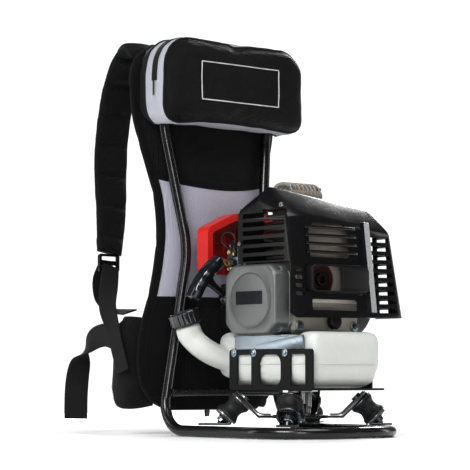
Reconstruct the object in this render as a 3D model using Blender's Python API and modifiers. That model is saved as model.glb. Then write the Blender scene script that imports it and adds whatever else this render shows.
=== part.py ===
"""Backpack concrete vibrator: the petrol drive unit on its carrying frame.

Run with: blender --background --python part.py
Metres, +Z up. The engine and its muffler face -Y, the person who carries it stands at +Y,
and the crankshaft lies along X. Places are in the machine's own frame, whose origin is on the
ground between the two uprights; MACHINE_SHIFT moves that frame so that the whole machine is
centred on the world origin.
"""

import math

import bmesh
import bpy
from mathutils import Matrix, Vector

# Whole machine
MACHINE_SHIFT = (-0.001, 0.038, 0.0)
GAP = 0.0004

# Carrying frame, one bent tube
TUBE_RADIUS = 0.007
BASE_HALF_WIDTH = 0.107
BASE_FRONT_Y = -0.261
WAIST_HALF_WIDTH = 0.066
WAIST_HEIGHT = 0.248
TOP_TUBE_HEIGHT = 0.500

# Back panel
PANEL_THICKNESS = 0.011
PLATE_THICKNESS = 0.002

# Pouch at the height of the neck
POUCH_HALF_WIDTH = 0.130
POUCH_BOTTOM = 0.410
POUCH_TOP = 0.536
POUCH_FRONT_Y = -0.038

# Swivel between frame and engine
PIVOT = Vector((0.0, -0.155, 0.0))
LOCK_PIN = Vector((0.018, -0.151, 0.0))
SWIVEL_STOPS = (0.0, math.radians(45.0))
SPIDER_BOTTOM = 0.024
SPIDER_THICKNESS = 0.003
BUFFER_RADIUS = 0.016
BUFFER_LENGTH = 0.028
BUFFER_SPREAD = (0.068, 0.055)
BUFFER_TILT = math.radians(45)
BUFFER_CENTRE_HEIGHT = 0.036
BOLT_RADIUS = 0.004

# Engine
CRANK_Y = -0.146
CRANK_Z = 0.176
CYLINDER_X = 0.010
CYLINDER_Y = -0.134
CRADLE_FLOOR = 0.060
SHEET = 0.0025
TANK_TOP = 0.124
ENGINE_PLATE_Z = 0.128
GUARD_WALL = 0.003

MATERIALS = {
    "frame_black": ((0.012, 0.012, 0.013), 0.22, 0.0),
    "fabric_black": ((0.015, 0.015, 0.017), 0.90, 0.0),
    "fabric_grey": ((0.52, 0.52, 0.56), 0.88, 0.0),
    "webbing_black": ((0.012, 0.012, 0.013), 0.70, 0.0),
    "plastic_black": ((0.020, 0.020, 0.022), 0.42, 0.0),
    "plastic_gloss": ((0.012, 0.013, 0.015), 0.16, 0.0),
    "plastic_red": ((0.62, 0.030, 0.028), 0.35, 0.0),
    "rubber": ((0.020, 0.020, 0.020), 0.75, 0.0),
    "zinc": ((0.62, 0.62, 0.60), 0.32, 1.0),
    "aluminium": ((0.56, 0.56, 0.54), 0.40, 1.0),
    "cast_aluminium": ((0.50, 0.47, 0.42), 0.55, 1.0),
    "steel": ((0.42, 0.41, 0.40), 0.35, 1.0),
    "hot_steel": ((0.30, 0.20, 0.15), 0.45, 1.0),
    "brass": ((0.60, 0.46, 0.22), 0.35, 1.0),
    "ceramic": ((0.85, 0.84, 0.80), 0.25, 0.0),
    "tank_white": ((0.80, 0.80, 0.77), 0.45, 0.0),
}


# ---------------------------------------------------------------- scene and materials


def clear_scene():
    for obj in list(bpy.data.objects):
        bpy.data.objects.remove(obj, do_unlink=True)


def new_collection(name, is_helper=False):
    collection = bpy.data.collections.new(name)
    bpy.context.scene.collection.children.link(collection)
    collection.hide_render = is_helper
    return collection


def material(slot):
    found = bpy.data.materials.get(slot)
    if found:
        return found
    colour, roughness, metallic = MATERIALS[slot]
    made = bpy.data.materials.new(slot)
    made.use_nodes = True
    shader = made.node_tree.nodes["Principled BSDF"]
    shader.inputs["Base Color"].default_value = (*colour, 1.0)
    shader.inputs["Roughness"].default_value = roughness
    shader.inputs["Metallic"].default_value = metallic
    made.diffuse_color = (*colour, 1.0)
    return made


clear_scene()
PARTS = new_collection("concrete_vibrator")
CUTTERS = new_collection("cutters", is_helper=True)


def add_empty(name, location, parent=None):
    empty = bpy.data.objects.new(name, None)
    PARTS.objects.link(empty)
    empty.location = location
    empty.empty_display_size = 0.02
    empty.parent = parent
    return empty


MACHINE = add_empty("machine_origin", MACHINE_SHIFT)


# ---------------------------------------------------------------- modelling helpers


def place(obj, slot, parent=None, smooth=None):
    """Puts a finished object among the parts, or among the cutters when it has no slot."""
    for collection in list(obj.users_collection):
        collection.objects.unlink(obj)
    if slot is None:
        CUTTERS.objects.link(obj)
        obj.hide_render = True
        obj.display_type = "WIRE"
    else:
        PARTS.objects.link(obj)
        obj.data.materials.clear()
        obj.data.materials.append(material(slot))
    obj.parent = parent or MACHINE
    if smooth is not None and obj.type == "MESH":
        obj.data.shade_smooth()
        obj.data.set_sharp_from_angle(angle=math.radians(smooth))
    return obj


def mesh_object(name, bm):
    mesh = bpy.data.meshes.new(name)
    bm.to_mesh(mesh)
    bm.free()
    return bpy.data.objects.new(name, mesh)


def add_bevel(obj, width, segments=1, angle=30):
    bevel = obj.modifiers.new("Bevel", "BEVEL")
    bevel.width = width
    bevel.segments = segments
    bevel.limit_method = "ANGLE"
    bevel.angle_limit = math.radians(angle)
    return obj


def box(name, low, high, slot, parent=None, bevel=0.0, segments=1):
    """A block between two corners, with its origin at its middle."""
    low, high = Vector(low), Vector(high)
    bm = bmesh.new()
    bmesh.ops.create_cube(bm, size=1.0)
    bmesh.ops.scale(bm, vec=high - low, verts=bm.verts)
    obj = mesh_object(name, bm)
    obj.location = (low + high) / 2
    if bevel:
        add_bevel(obj, bevel, segments)
    return place(obj, slot, parent, smooth=35)


def rod(name, start, end, radius, slot, parent=None, sides=16, bevel=0.0, top_radius=None):
    """A round bar or cone from one point to another."""
    start, end = Vector(start), Vector(end)
    bm = bmesh.new()
    bmesh.ops.create_cone(
        bm,
        cap_ends=True,
        segments=sides,
        radius1=radius,
        radius2=radius if top_radius is None else top_radius,
        depth=(end - start).length,
    )
    obj = mesh_object(name, bm)
    obj.location = (start + end) / 2
    obj.rotation_euler = (end - start).to_track_quat("Z", "Y").to_euler()
    if bevel:
        add_bevel(obj, bevel)
    return place(obj, slot, parent, smooth=35)


def turned(name, profile, origin, direction, slot, parent=None, steps=20, twist=0.0):
    """A turned piece: (radius, height) points down its outside, about a line through origin."""
    bm = bmesh.new()
    verts = [bm.verts.new((radius, 0.0, height)) for radius, height in profile]
    closed_profile = min(radius for radius, _ in profile) > 1e-6
    for first, second in zip(verts, verts[1:]):
        bm.edges.new((first, second))
    if closed_profile:
        bm.edges.new((verts[-1], verts[0]))
    obj = mesh_object(name, bm)
    obj.location = origin
    turn = Vector(direction).to_track_quat("Z", "Y")
    obj.rotation_euler = (turn.to_matrix() @ Matrix.Rotation(twist, 3, "Z")).to_euler()
    screw = obj.modifiers.new("Screw", "SCREW")
    screw.axis = "Z"
    screw.steps = steps
    screw.render_steps = steps
    screw.use_merge_vertices = True
    screw.merge_threshold = 0.0001
    return place(obj, slot, parent)


def plate(name, outline, thickness, matrix, slot, parent=None, holes=(), bevel=0.0):
    """A flat piece cut to an outline, lying in the matrix's XY plane and centred on it."""
    curve = bpy.data.curves.new(name, "CURVE")
    curve.dimensions = "2D"
    curve.fill_mode = "BOTH"
    curve.extrude = thickness / 2
    for points in (outline, *holes):
        spline = curve.splines.new("POLY")
        spline.points.add(len(points) - 1)
        for point, (x, y) in zip(spline.points, points):
            point.co = (x, y, 0.0, 1.0)
        spline.use_cyclic_u = True
    obj = as_mesh(bpy.data.objects.new(name, curve))
    obj.matrix_world = matrix
    if bevel:
        add_bevel(obj, bevel)
    return place(obj, slot, parent, smooth=35)


def as_mesh(curve_obj):
    """The curve object's shape as a welded mesh object, in the curve's place."""
    bpy.context.scene.collection.objects.link(curve_obj)
    bpy.context.view_layer.update()
    graph = bpy.context.evaluated_depsgraph_get()
    mesh = bpy.data.meshes.new_from_object(curve_obj.evaluated_get(graph))
    bm = bmesh.new()
    bm.from_mesh(mesh)
    bmesh.ops.remove_doubles(bm, verts=bm.verts, dist=0.00001)
    bmesh.ops.recalc_face_normals(bm, faces=bm.faces)
    bm.to_mesh(mesh)
    bm.free()
    name, matrix = curve_obj.name, curve_obj.matrix_world.copy()
    bpy.data.objects.remove(curve_obj, do_unlink=True)
    obj = bpy.data.objects.new(name, mesh)
    obj.matrix_world = matrix
    return obj


def tube(name, points, radius, slot, parent=None, cyclic=False, detail=2):
    """A bent tube or wire through the points, as a welded mesh."""
    curve = bpy.data.curves.new(name, "CURVE")
    curve.dimensions = "3D"
    curve.bevel_depth = radius
    curve.bevel_resolution = detail
    curve.use_fill_caps = not cyclic
    spline = curve.splines.new("POLY")
    spline.points.add(len(points) - 1)
    for point, co in zip(spline.points, points):
        point.co = (*co, 1.0)
    spline.use_cyclic_u = cyclic
    obj = as_mesh(bpy.data.objects.new(name, curve))
    return place(obj, slot, parent, smooth=40)


def boolean(obj, other, operation):
    modifier = obj.modifiers.new(f"{operation.title()} {other.name}", "BOOLEAN")
    modifier.operation = operation
    modifier.solver = "EXACT"
    modifier.object = other
    return obj


def cut(obj, *cutters):
    for cutter in cutters:
        boolean(obj, cutter, "DIFFERENCE")
    return obj


def join(obj, *others):
    for other in others:
        boolean(obj, other, "UNION")
    return obj


def arc_corner(before, corner, after, radius, steps):
    """Points of the bend that rounds one corner of a route."""
    back, ahead = (before - corner).normalized(), (after - corner).normalized()
    half = back.angle(ahead) / 2
    reach = radius / math.tan(half)
    middle = (back + ahead).normalized()
    centre = corner + middle * (radius / math.sin(half))
    start = (corner + back * reach - centre).normalized()
    end = (corner + ahead * reach - centre).normalized()
    return [centre + start.slerp(end, i / steps) * radius for i in range(steps + 1)]


def bent_route(corners, is_loop):
    """Straight runs with round bends: corners are (point, bend radius, steps in the bend)."""
    points = []
    count = len(corners)
    for index, (corner, radius, steps) in enumerate(corners):
        corner = Vector(corner)
        if not is_loop and index in (0, count - 1):
            points.append(corner)
            continue
        before = Vector(corners[index - 1][0])
        after = Vector(corners[(index + 1) % count][0])
        points += arc_corner(before, corner, after, radius, steps)
    return points


def smooth_values(rows, per_span):
    """Catmull-Rom values between hand-set rows of numbers."""
    rows = [Vector(row) for row in rows]
    padded = [rows[0] * 2 - rows[1], *rows, rows[-1] * 2 - rows[-2]]
    found = []
    for a, b, c, d in zip(padded, padded[1:], padded[2:], padded[3:]):
        for step in range(per_span):
            t = step / per_span
            linear = (c - a) * t
            square = (a * 2 - b * 5 + c * 4 - d) * t**2
            cube = (b * 3 - a - c * 3 + d) * t**3
            found.append((b * 2 + linear + square + cube) / 2)
    return [*found, rows[-1]]


def ribbon(name, route, thickness, slot, per_span=3, bevel=0.0):
    """A strap or pad: rows of (x, y, z, width, across x, y, z) with the faces between its edges."""
    bm = bmesh.new()
    edges = []
    for row in smooth_values(route, per_span):
        centre, width, across = Vector(row[:3]), row[3], Vector(row[4:7]).normalized()
        sides = [centre + across * width * share for share in (-0.5, 0.5)]
        edges.append([bm.verts.new(side) for side in sides])
    for (a, b), (c, d) in zip(edges, edges[1:]):
        bm.faces.new((a, b, d, c))
    obj = mesh_object(name, bm)
    solid = obj.modifiers.new("Solidify", "SOLIDIFY")
    solid.thickness = thickness
    solid.offset = 0.0
    solid.use_even_offset = True
    if bevel:
        add_bevel(obj, bevel, angle=50)
    return place(obj, slot, smooth=50)


def mirrored_route(route, side):
    """The same strap route on the other side of the machine."""
    return [(side * x, y, z, width, side * ax, ay, az) for x, y, z, width, ax, ay, az in route]


def rounded_outline(half_x, half_y, radius, steps=4):
    """A rectangle with round corners."""
    points = []
    for quarter, (sx, sy) in enumerate(((1, 1), (-1, 1), (-1, -1), (1, -1))):
        for step in range(steps + 1):
            angle = math.pi / 2 * (quarter + step / steps)
            x = sx * (half_x - radius) + radius * math.cos(angle)
            y = sy * (half_y - radius) + radius * math.sin(angle)
            points.append((x, y))
    return points


def strip_outline(half_width, low, high):
    return [(-half_width, low), (half_width, low), (half_width, high), (-half_width, high)]


def facing(normal, up, location):
    """A frame whose Z is the normal and whose Y is as near to up as it can be."""
    z = Vector(normal).normalized()
    x = Vector(up).cross(z).normalized()
    y = z.cross(x)
    matrix = Matrix((x, y, z)).transposed().to_4x4()
    matrix.translation = Vector(location)
    return matrix


# ---------------------------------------------------------------- carrying frame


def frame_corners():
    """The bends of the frame tube, counter-clockwise from the front left of the base."""
    right_side = [
        ((BASE_HALF_WIDTH, BASE_FRONT_Y, TUBE_RADIUS), 0.080, 7),
        ((BASE_HALF_WIDTH, 0.001, TUBE_RADIUS), 0.045, 6),
        ((WAIST_HALF_WIDTH, -0.004, WAIST_HEIGHT), 0.160, 4),
        ((0.092, 0.017, 0.415), 0.150, 3),
        ((0.095, 0.012, TOP_TUBE_HEIGHT), 0.045, 6),
    ]
    left_side = [((-x, y, z), bend, steps) for (x, y, z), bend, steps in reversed(right_side)]
    return [*right_side, *left_side]


def make_frame_tube():
    """The bent tube with its low cross bar welded in, and the space it takes up elsewhere."""
    route = bent_route(frame_corners(), is_loop=True)
    frame = tube("frame_tube", route, TUBE_RADIUS, "frame_black", cyclic=True)
    half, y, height = BASE_HALF_WIDTH - 0.009, -0.0045, 0.056
    join(frame, rod("cross_bar", (-half, y, height), (half, y, height), 0.005, None, sides=12))
    return tube("tube_space", route, TUBE_RADIUS + 0.0012, None, cyclic=True)


# Rows up the panel: height, half width, y of its middle line, y of its edges
PANEL_ROWS = (
    (0.034, 0.082, 0.012, 0.026),
    (0.046, 0.103, 0.010, 0.030),
    (0.068, 0.119, 0.008, 0.030),
    (0.105, 0.124, 0.008, 0.030),
    (0.142, 0.119, 0.008, 0.030),
    (0.189, 0.105, 0.008, 0.029),
    (0.230, 0.097, 0.008, 0.028),
    (0.274, 0.093, 0.008, 0.028),
    (0.320, 0.096, 0.009, 0.031),
    (0.362, 0.107, 0.013, 0.035),
    (0.401, 0.119, 0.020, 0.038),
    (0.435, 0.126, 0.023, 0.041),
    (0.480, 0.129, 0.025, 0.042),
    (0.508, 0.120, 0.026, 0.041),
    (0.525, 0.098, 0.027, 0.037),
)
PANEL_COLUMNS = 8


def panel_sheet(name, thickness, offset_y, slot, grow=0.0, rows=PANEL_ROWS):
    """The hourglass panel, curved around the wearer's back, as a sheet made solid."""
    bm = bmesh.new()
    grid = []
    for height, half_width, middle_y, edge_y in rows:
        row = []
        for column in range(PANEL_COLUMNS + 1):
            x = (2 * column / PANEL_COLUMNS - 1) * (half_width + grow)
            y = middle_y + (edge_y - middle_y) * (x / half_width) ** 2 + offset_y
            row.append(bm.verts.new((x, y, height)))
        grid.append(row)
    for low, high in zip(grid, grid[1:]):
        for column in range(PANEL_COLUMNS):
            bm.faces.new((low[column], low[column + 1], high[column + 1], high[column]))
    obj = mesh_object(name, bm)
    solid = obj.modifiers.new("Solidify", "SOLIDIFY")
    solid.thickness = thickness
    solid.offset = -1.0
    return place(obj, slot, smooth=50)


def make_back_panel():
    """A stiff plate in front, and the padded cushion that lies against the wearer."""
    panel_sheet("back_plate", PLATE_THICKNESS, -0.006, "plastic_black", grow=-0.004)
    panel_sheet("back_pad", PANEL_THICKNESS, -0.006 + PLATE_THICKNESS + 2 * GAP, "fabric_grey")
    above = (POUCH_TOP + 0.02, *PANEL_ROWS[-2][1:])
    rows = (*PANEL_ROWS[:-1], above)
    return panel_sheet("panel_space", 0.070, -0.0085, None, grow=0.04, rows=rows)


def make_pouch(tube_space, panel_space):
    low = (-POUCH_HALF_WIDTH, POUCH_FRONT_Y, POUCH_BOTTOM)
    high = (POUCH_HALF_WIDTH, 0.060, POUCH_TOP)
    pouch = box("head_pouch", low, high, "fabric_black", bevel=0.026, segments=3)
    cut(pouch, panel_space, tube_space)


# Straps on the -X side; rows are x, y, z, width and across
SHOULDER_ROUTE = (
    (-0.094, 0.052, 0.508, 0.052, 1, 0, 0),
    (-0.094, 0.068, 0.524, 0.052, 1, 0, 0),
    (-0.094, 0.092, 0.508, 0.053, 1, 0, 0),
    (-0.094, 0.114, 0.468, 0.053, 1, 0, 0),
    (-0.094, 0.128, 0.414, 0.052, 1, 0, 0),
    (-0.095, 0.131, 0.365, 0.052, 1, 0, 0),
    (-0.099, 0.124, 0.300, 0.046, 1, 0, 0),
    (-0.107, 0.117, 0.246, 0.038, 1, 0, 0),
)
WEBBING_ROUTE = (
    (-0.108, 0.120, 0.236, 0.025, 1, 0, 0),
    (-0.110, 0.133, 0.212, 0.025, 1, 0, 0),
    (-0.111, 0.129, 0.186, 0.025, 1, 0, 0),
    (-0.112, 0.113, 0.171, 0.025, 1, 0.1, 0),
    (-0.113, 0.090, 0.166, 0.025, 1, 0.1, 0.2),
    (-0.113, 0.062, 0.164, 0.025, 1, 0.1, 0.3),
)
TAIL_ROUTE = (
    (-0.111, 0.107, 0.228, 0.025, 1, 0, 0),
    (-0.120, 0.100, 0.200, 0.025, 0.9, -0.5, 0.1),
    (-0.131, 0.088, 0.172, 0.025, 0.5, -0.9, 0.1),
    (-0.1345, 0.072, 0.144, 0.025, 0.1, -1, 0),
    (-0.1345, 0.060, 0.112, 0.025, 0.05, -1, 0),
    (-0.1335, 0.050, 0.084, 0.025, 0.05, -1, 0),
)
HIP_PAD_ROUTE = (
    (-0.088, 0.045, 0.096, 0.112, 0, 0, 1),
    (-0.108, 0.047, 0.096, 0.118, 0, 0, 1),
    (-0.120, 0.056, 0.096, 0.120, 0, 0, 1),
    (-0.121, 0.070, 0.097, 0.116, 0, 0, 1),
    (-0.113, 0.090, 0.104, 0.092, 0, 0, 1),
)
HIP_WEBBING_ROUTE = (
    (-0.111, 0.100, 0.130, 0.032, 0, 0, 1),
    (-0.110, 0.122, 0.134, 0.032, 0, -0.1, 1),
    (-0.112, 0.146, 0.128, 0.032, 0.1, 0.35, 0.94),
    (-0.115, 0.164, 0.110, 0.032, 0.6, 0.0, 0.75),
    (-0.117, 0.173, 0.086, 0.032, 0.9, -0.35, 0.25),
    (-0.118, 0.177, 0.056, 0.032, 0.8, -0.6, 0),
    (-0.118, 0.178, 0.019, 0.032, 0.77, -0.64, 0),
)


def make_buckle(name, side):
    """A ladder-lock: a flat frame with two slots for the webbing."""
    slot_hole = rounded_outline(0.0135, 0.003, 0.001, steps=1)
    holes = [[(x, y + shift) for x, y in slot_hole] for shift in (-0.006, 0.006)]
    matrix = facing((side * 0.05, 1.0, 0.0), (0, 0, 1), (side * 0.109, 0.1155, 0.2325))
    plate(name, rounded_outline(0.018, 0.0125, 0.004), 0.004, matrix, "plastic_black", holes=holes)


def make_straps():
    for label, side in (("left", 1), ("right", -1)):
        routes = {
            "shoulder_strap": (SHOULDER_ROUTE, 0.016, "fabric_black", 2, 0.003),
            "hip_pad": (HIP_PAD_ROUTE, 0.013, "fabric_black", 2, 0.003),
            "strap_webbing": (WEBBING_ROUTE, 0.0022, "webbing_black", 3, 0.0),
            "strap_tail": (TAIL_ROUTE, 0.0022, "webbing_black", 2, 0.0),
            "hip_webbing": (HIP_WEBBING_ROUTE, 0.0024, "webbing_black", 3, 0.0),
        }
        for name, (route, thickness, slot, per_span, bevel) in routes.items():
            route = mirrored_route(route, side)
            ribbon(f"{name}_{label}", route, thickness, slot, per_span, bevel)


# ---------------------------------------------------------------- swivel and rubber buffers


def buffer_frames():
    """Where each rubber buffer stands: name, its frame with Z up its axis, reach to the tube."""
    spread_x, spread_y = BUFFER_SPREAD
    frames = []
    for end, sy, reach in (("front", -1, 0.024), ("rear", 1, 0.041)):
        for label, sx in (("left", -1), ("right", 1)):
            outward = Vector((sx * spread_x, sy * spread_y, 0.0)).normalized()
            centre = PIVOT + Vector((sx * spread_x, sy * spread_y, BUFFER_CENTRE_HEIGHT))
            axis = Vector((0, 0, math.cos(BUFFER_TILT))) - outward * math.sin(BUFFER_TILT)
            frames.append((f"{end}_{label}", facing(axis, outward, centre), reach))
    return frames


def cross_outline(half_width, reach):
    """The flat middle of the spider: one strip towards each buffer, seen from above."""
    spread_x, spread_y = BUFFER_SPREAD
    turns = sorted(math.atan2(sy * spread_y, sx * spread_x) for sx in (-1, 1) for sy in (-1, 1))
    points = []
    for turn, following in zip(turns, [*turns[1:], turns[0] + 2 * math.pi]):
        along = Vector((math.cos(turn), math.sin(turn)))
        across = Vector((-along.y, along.x))
        notch = (turn + following) / 2
        depth = half_width / math.sin((following - turn) / 2)
        points += [along * reach - across * half_width, along * reach + across * half_width]
        points.append(Vector((math.cos(notch), math.sin(notch))) * depth)
    return [tuple(point) for point in points]


def make_spider(frames):
    """The pressed cross that the engine turns on: a flat middle and four arms bent up."""
    middle = SPIDER_BOTTOM + SPIDER_THICKNESS / 2
    outline = cross_outline(0.014, 0.0555)
    flat = Matrix.Translation(PIVOT + Vector((0.0, 0.0, middle)))
    spider = plate("spider_plate", outline, SPIDER_THICKNESS, flat, "frame_black")
    boss = [(0.0065, 0.042), (0.010, 0.042), (0.010, 0.0275), (0.036, 0.0275), (0.036, 0.0235),
            (0.0065, 0.0235)]
    join(spider, turned("boss", boss, PIVOT, (0, 0, 1), None))
    rise = BUFFER_LENGTH / 2 + GAP + SPIDER_THICKNESS / 2
    for name, frame, _ in frames:
        bent = frame @ Matrix.Translation((0, 0, rise))
        arm_outline = strip_outline(0.0135, -0.0310, 0.013)
        join(spider, plate(f"bent_arm_{name}", arm_outline, SPIDER_THICKNESS, bent, None))
    for name, frame, _ in frames:
        cut(spider, frame_rod(f"arm_hole_{name}", frame, 0.0, 0.030, BOLT_RADIUS + GAP, None))
    hub_hole = rod("hub_hole", PIVOT, PIVOT + Vector((0, 0, 0.035)), 0.0066, None)
    cut(spider, hub_hole)
    for turn in SWIVEL_STOPS:
        hole = PIVOT + Matrix.Rotation(turn, 3, "Z") @ (LOCK_PIN - PIVOT)
        cut(spider, rod(f"pin_hole_{turn:.1f}", hole, hole + Vector((0, 0, 0.029)), 0.0036, None))


def frame_rod(name, frame, low, high, radius, slot, sides=12):
    """A round bar along a buffer's own axis."""
    return rod(name, frame @ Vector((0, 0, low)), frame @ Vector((0, 0, high)), radius, slot,
               sides=sides)


def make_buffer(name, frame, reach):
    half, waist = BUFFER_LENGTH / 2, 0.012
    bore = BOLT_RADIUS + GAP
    axis = frame.to_3x3() @ Vector((0, 0, 1))
    centre = frame.translation
    turned(
        f"buffer_{name}",
        [
            (bore, half),
            (BUFFER_RADIUS, half),
            (BUFFER_RADIUS, half - 0.004),
            (waist, half - 0.009),
            (waist, 0.009 - half),
            (BUFFER_RADIUS, 0.004 - half),
            (BUFFER_RADIUS, -half),
            (bore, -half),
        ],
        centre,
        axis,
        "rubber",
        steps=14,
    )
    make_bracket(name, frame, reach)
    make_buffer_bolt(name, axis, centre)


def make_bracket(name, frame, reach):
    """The welded chair between a buffer's foot and the base tube: a seat and two cheeks."""
    drop = BUFFER_LENGTH / 2 + GAP + 0.0015
    seat = plate(
        f"base_bracket_{name}",
        strip_outline(0.015, -0.013, 0.013),
        0.003,
        frame @ Matrix.Translation((0, 0, -drop)),
        "frame_black",
    )
    foot = frame @ Vector((0, 0, -drop))
    outward = Vector((foot.x - PIVOT.x, foot.y - PIVOT.y, 0)).normalized()
    ground = Vector((foot.x, foot.y, 2 * TUBE_RADIUS + GAP))
    rise = foot.z - ground.z
    cheek = [
        (-0.0115, 0.0),
        (reach, 0.0),
        (reach, 0.004),
        (0.010, rise + 0.0085),
        (-0.0105, 0.001),
    ]
    across = Vector((-outward.y, outward.x, 0))
    for side in (-1, 1):
        matrix = facing(-across, (0, 0, 1), ground + across * side * 0.0135)
        join(seat, plate(f"cheek_{name}_{side}", cheek, 0.003, matrix, None))
    hole = frame_rod(f"seat_hole_{name}", frame, -0.030, 0.0, BOLT_RADIUS + GAP, None)
    cut(seat, hole)


def make_buffer_bolt(name, axis, centre):
    """One bolt through arm, buffer and bracket, with its head above and its nut below."""
    head = BUFFER_LENGTH / 2 + 2 * GAP + SPIDER_THICKNESS
    turned(
        f"buffer_bolt_{name}",
        [
            (0.0, head + 0.0055),
            (0.0072, head + 0.0055),
            (0.0072, head),
            (BOLT_RADIUS, head),
            (BOLT_RADIUS, -head),
            (0.0072, -head),
            (0.0072, -head - 0.006),
            (0.0, -head - 0.006),
        ],
        centre,
        axis,
        "zinc",
        steps=6,
    )



def make_pivot():
    high = CRADLE_FLOOR - GAP
    shaft = [(0.0, high), (0.016, high), (0.016, high - 0.003), (0.006, high - 0.003),
             (0.006, 0.019), (0.0, 0.019)]
    turned("pivot_shaft", shaft, PIVOT, (0, 0, 1), "steel", steps=16)
    turned(
        "lock_pin",
        [(0.0, 0.056), (0.0042, 0.056), (0.0042, 0.038), (0.003, 0.036), (0.003, 0.029),
         (0.0, 0.028)],
        LOCK_PIN,
        (0, 0, 1),
        "steel",
        steps=12,
    )


# ---------------------------------------------------------------- tank and cradle


def make_cradle():
    """The pressed tray under the tank, with a wall of straps on each side."""
    low, high = CRADLE_FLOOR, 0.112
    floor = box("cradle", (-0.065, -0.250, low), (0.061, -0.091, low + SHEET), "frame_black")
    for label, x, front in (("left", -0.0647, -0.2505), ("right", 0.0607, -0.226)):
        wall = box(f"wall_{label}", (x - SHEET / 2, front, low), (x + SHEET / 2, -0.0905, high), None)
        join(floor, wall)
    windows = ((-0.129, -0.111), (-0.188, -0.151), (-0.229, -0.208))
    for index, (far, near) in enumerate(windows):
        window = box(f"window_{index}", (-0.08, far, low + 0.010), (0.08, near, high - 0.006), None)
        cut(floor, window)
    opening = box("tray_opening", (-0.045, -0.235, 0.05), (0.045, -0.190, 0.07), None)
    rear_opening = box("tray_rear_opening", (-0.045, -0.125, 0.05), (0.045, -0.105, 0.07), None)
    cut(floor, opening, rear_opening)


CAP_PLACE = Vector((-0.104, -0.045, 0.154))
CAP_AXIS = Vector((-0.28, 0.12, 0.95)).normalized()
NECK_ROUTE = (
    (-0.036, -0.086, 0.096),
    (-0.062, -0.073, 0.101),
    (-0.084, -0.061, 0.113),
)


def make_tank():
    low = (-0.0625, -0.2475, CRADLE_FLOOR + SHEET + GAP)
    tank = box("fuel_tank", low, (0.0585, -0.072, TANK_TOP), "tank_white", bevel=0.020, segments=3)
    mouth = CAP_PLACE - CAP_AXIS * (0.0100 + GAP)
    collar = mouth - CAP_AXIS * 0.016
    front = box("tank_front", (-0.0605, -0.2475, 0.080), (0.0585, -0.2085, 0.1345), None,
                bevel=0.012, segments=3)
    shoulder = box("tank_shoulder", (-0.0605, -0.0975, 0.075), (-0.012, -0.055, 0.1360), None,
                   bevel=0.014, segments=3)
    smooth = smooth_values([*NECK_ROUTE, collar, mouth - CAP_AXIS * 0.009], 3)
    join(
        tank,
        front,
        shoulder,
        tube("filler_neck", [tuple(point) for point in smooth], 0.0160, None, detail=3),
        rod("filler_collar", collar, mouth, 0.0168, None, sides=20),
    )
    turned(
        "fuel_cap",
        [(0.0, 0.009), (0.0185, 0.009), (0.0205, 0.006), (0.0205, -0.0095), (0.0180, -0.0100),
         (0.0, -0.0100)],
        CAP_PLACE,
        CAP_AXIS,
        "plastic_black",
        steps=20,
    )


# ---------------------------------------------------------------- engine block


def make_engine_plate():
    top = ENGINE_PLATE_Z + SHEET
    deck = box("engine_plate", (-0.066, -0.206, ENGINE_PLATE_Z), (0.062, -0.100, top), "zinc")
    for label, x, front in (("left", -0.0644, -0.232), ("right", 0.0604, -0.205)):
        low = (x - SHEET / 2, front, 0.112 + GAP)
        high = (x + SHEET / 2, -0.101, top - SHEET / 4)
        join(deck, box(f"skirt_{label}", low, high, None))


def make_crankcase():
    low = (-0.050, -0.195, ENGINE_PLATE_Z + SHEET + GAP)
    case = box("crankcase", low, (0.070, -0.103, 0.2145), "cast_aluminium", bevel=0.006)
    start, end = (-0.06, CRANK_Y, CRANK_Z), (0.08, CRANK_Y, CRANK_Z)
    cut(case, rod("crank_bore", start, end, 0.0105, None, sides=20))


def octagon_outline():
    """The starter cover's outline: a rounded square with cut corners."""
    points = []
    for corner in range(4):
        for along in (-0.62, -0.46, 0.46, 0.62):
            turn = math.pi / 4 + corner * math.pi / 2 + along
            reach = 0.0505 if abs(along) > 0.5 else 0.0545
            points.append((reach * math.cos(turn), reach * 0.89 * math.sin(turn)))
    return points


def make_starter():
    """Cast cover at the left end, with the recoil pulley inside it and the grip outside."""
    depth = 0.0295
    centre = (-0.0505 - depth / 2, CRANK_Y, CRANK_Z)
    cover = plate(
        "starter_cover", octagon_outline(), depth, facing((-1, 0, 0), (0, 0, 1), centre),
        "aluminium", bevel=0.004,
    )
    space = rod(
        "starter_space", (-0.076, CRANK_Y, CRANK_Z), (-0.04, CRANK_Y, CRANK_Z), 0.039, None, sides=24
    )
    cut(cover, space)
    groove = [(0.0, 0.008), (0.034, 0.008), (0.030, 0.006), (0.030, 0.002), (0.034, 0.0), (0.0, 0.0)]
    turned("recoil_pulley", groove, (-0.066, CRANK_Y, CRANK_Z), (-1, 0, 0), "plastic_black")
    guide = box("rope_guide", (-0.0495, -0.1026, 0.138), (-0.034, -0.050, 0.200), "plastic_black",
                bevel=0.003)
    rope_hole = rod("rope_hole", GRIP_SEAT - GRIP_PULL * 0.03, GRIP_SEAT + GRIP_PULL * 0.02,
                    0.0045, None, sides=10)
    cut(guide, rope_hole)
    make_grip()


GRIP_PLACE = Vector((-0.084, -0.060, 0.208))
GRIP_PULL = Vector((-0.825, 0.0, 0.566)).normalized()
GRIP_SEAT = GRIP_PLACE - GRIP_PULL * 0.0405


def make_grip():
    """The T-shaped starter grip: a bowed bar with its stem seated in the rope guide."""
    along = Vector((0.0476, -0.0135, 0.048))
    along = (along - GRIP_PULL * along.dot(GRIP_PULL)).normalized()
    points = []
    for step in range(-4, 5):
        share = step / 4
        points.append(GRIP_PLACE + along * 0.034 * share - GRIP_PULL * 0.006 * share * share)
    bar = tube("starter_grip", [tuple(point) for point in points], 0.0085, "plastic_gloss", detail=2)
    stem = rod("grip_stem", GRIP_PLACE, GRIP_SEAT, 0.0038, None, sides=12,
               top_radius=0.0035)
    join(bar, stem)


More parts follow.
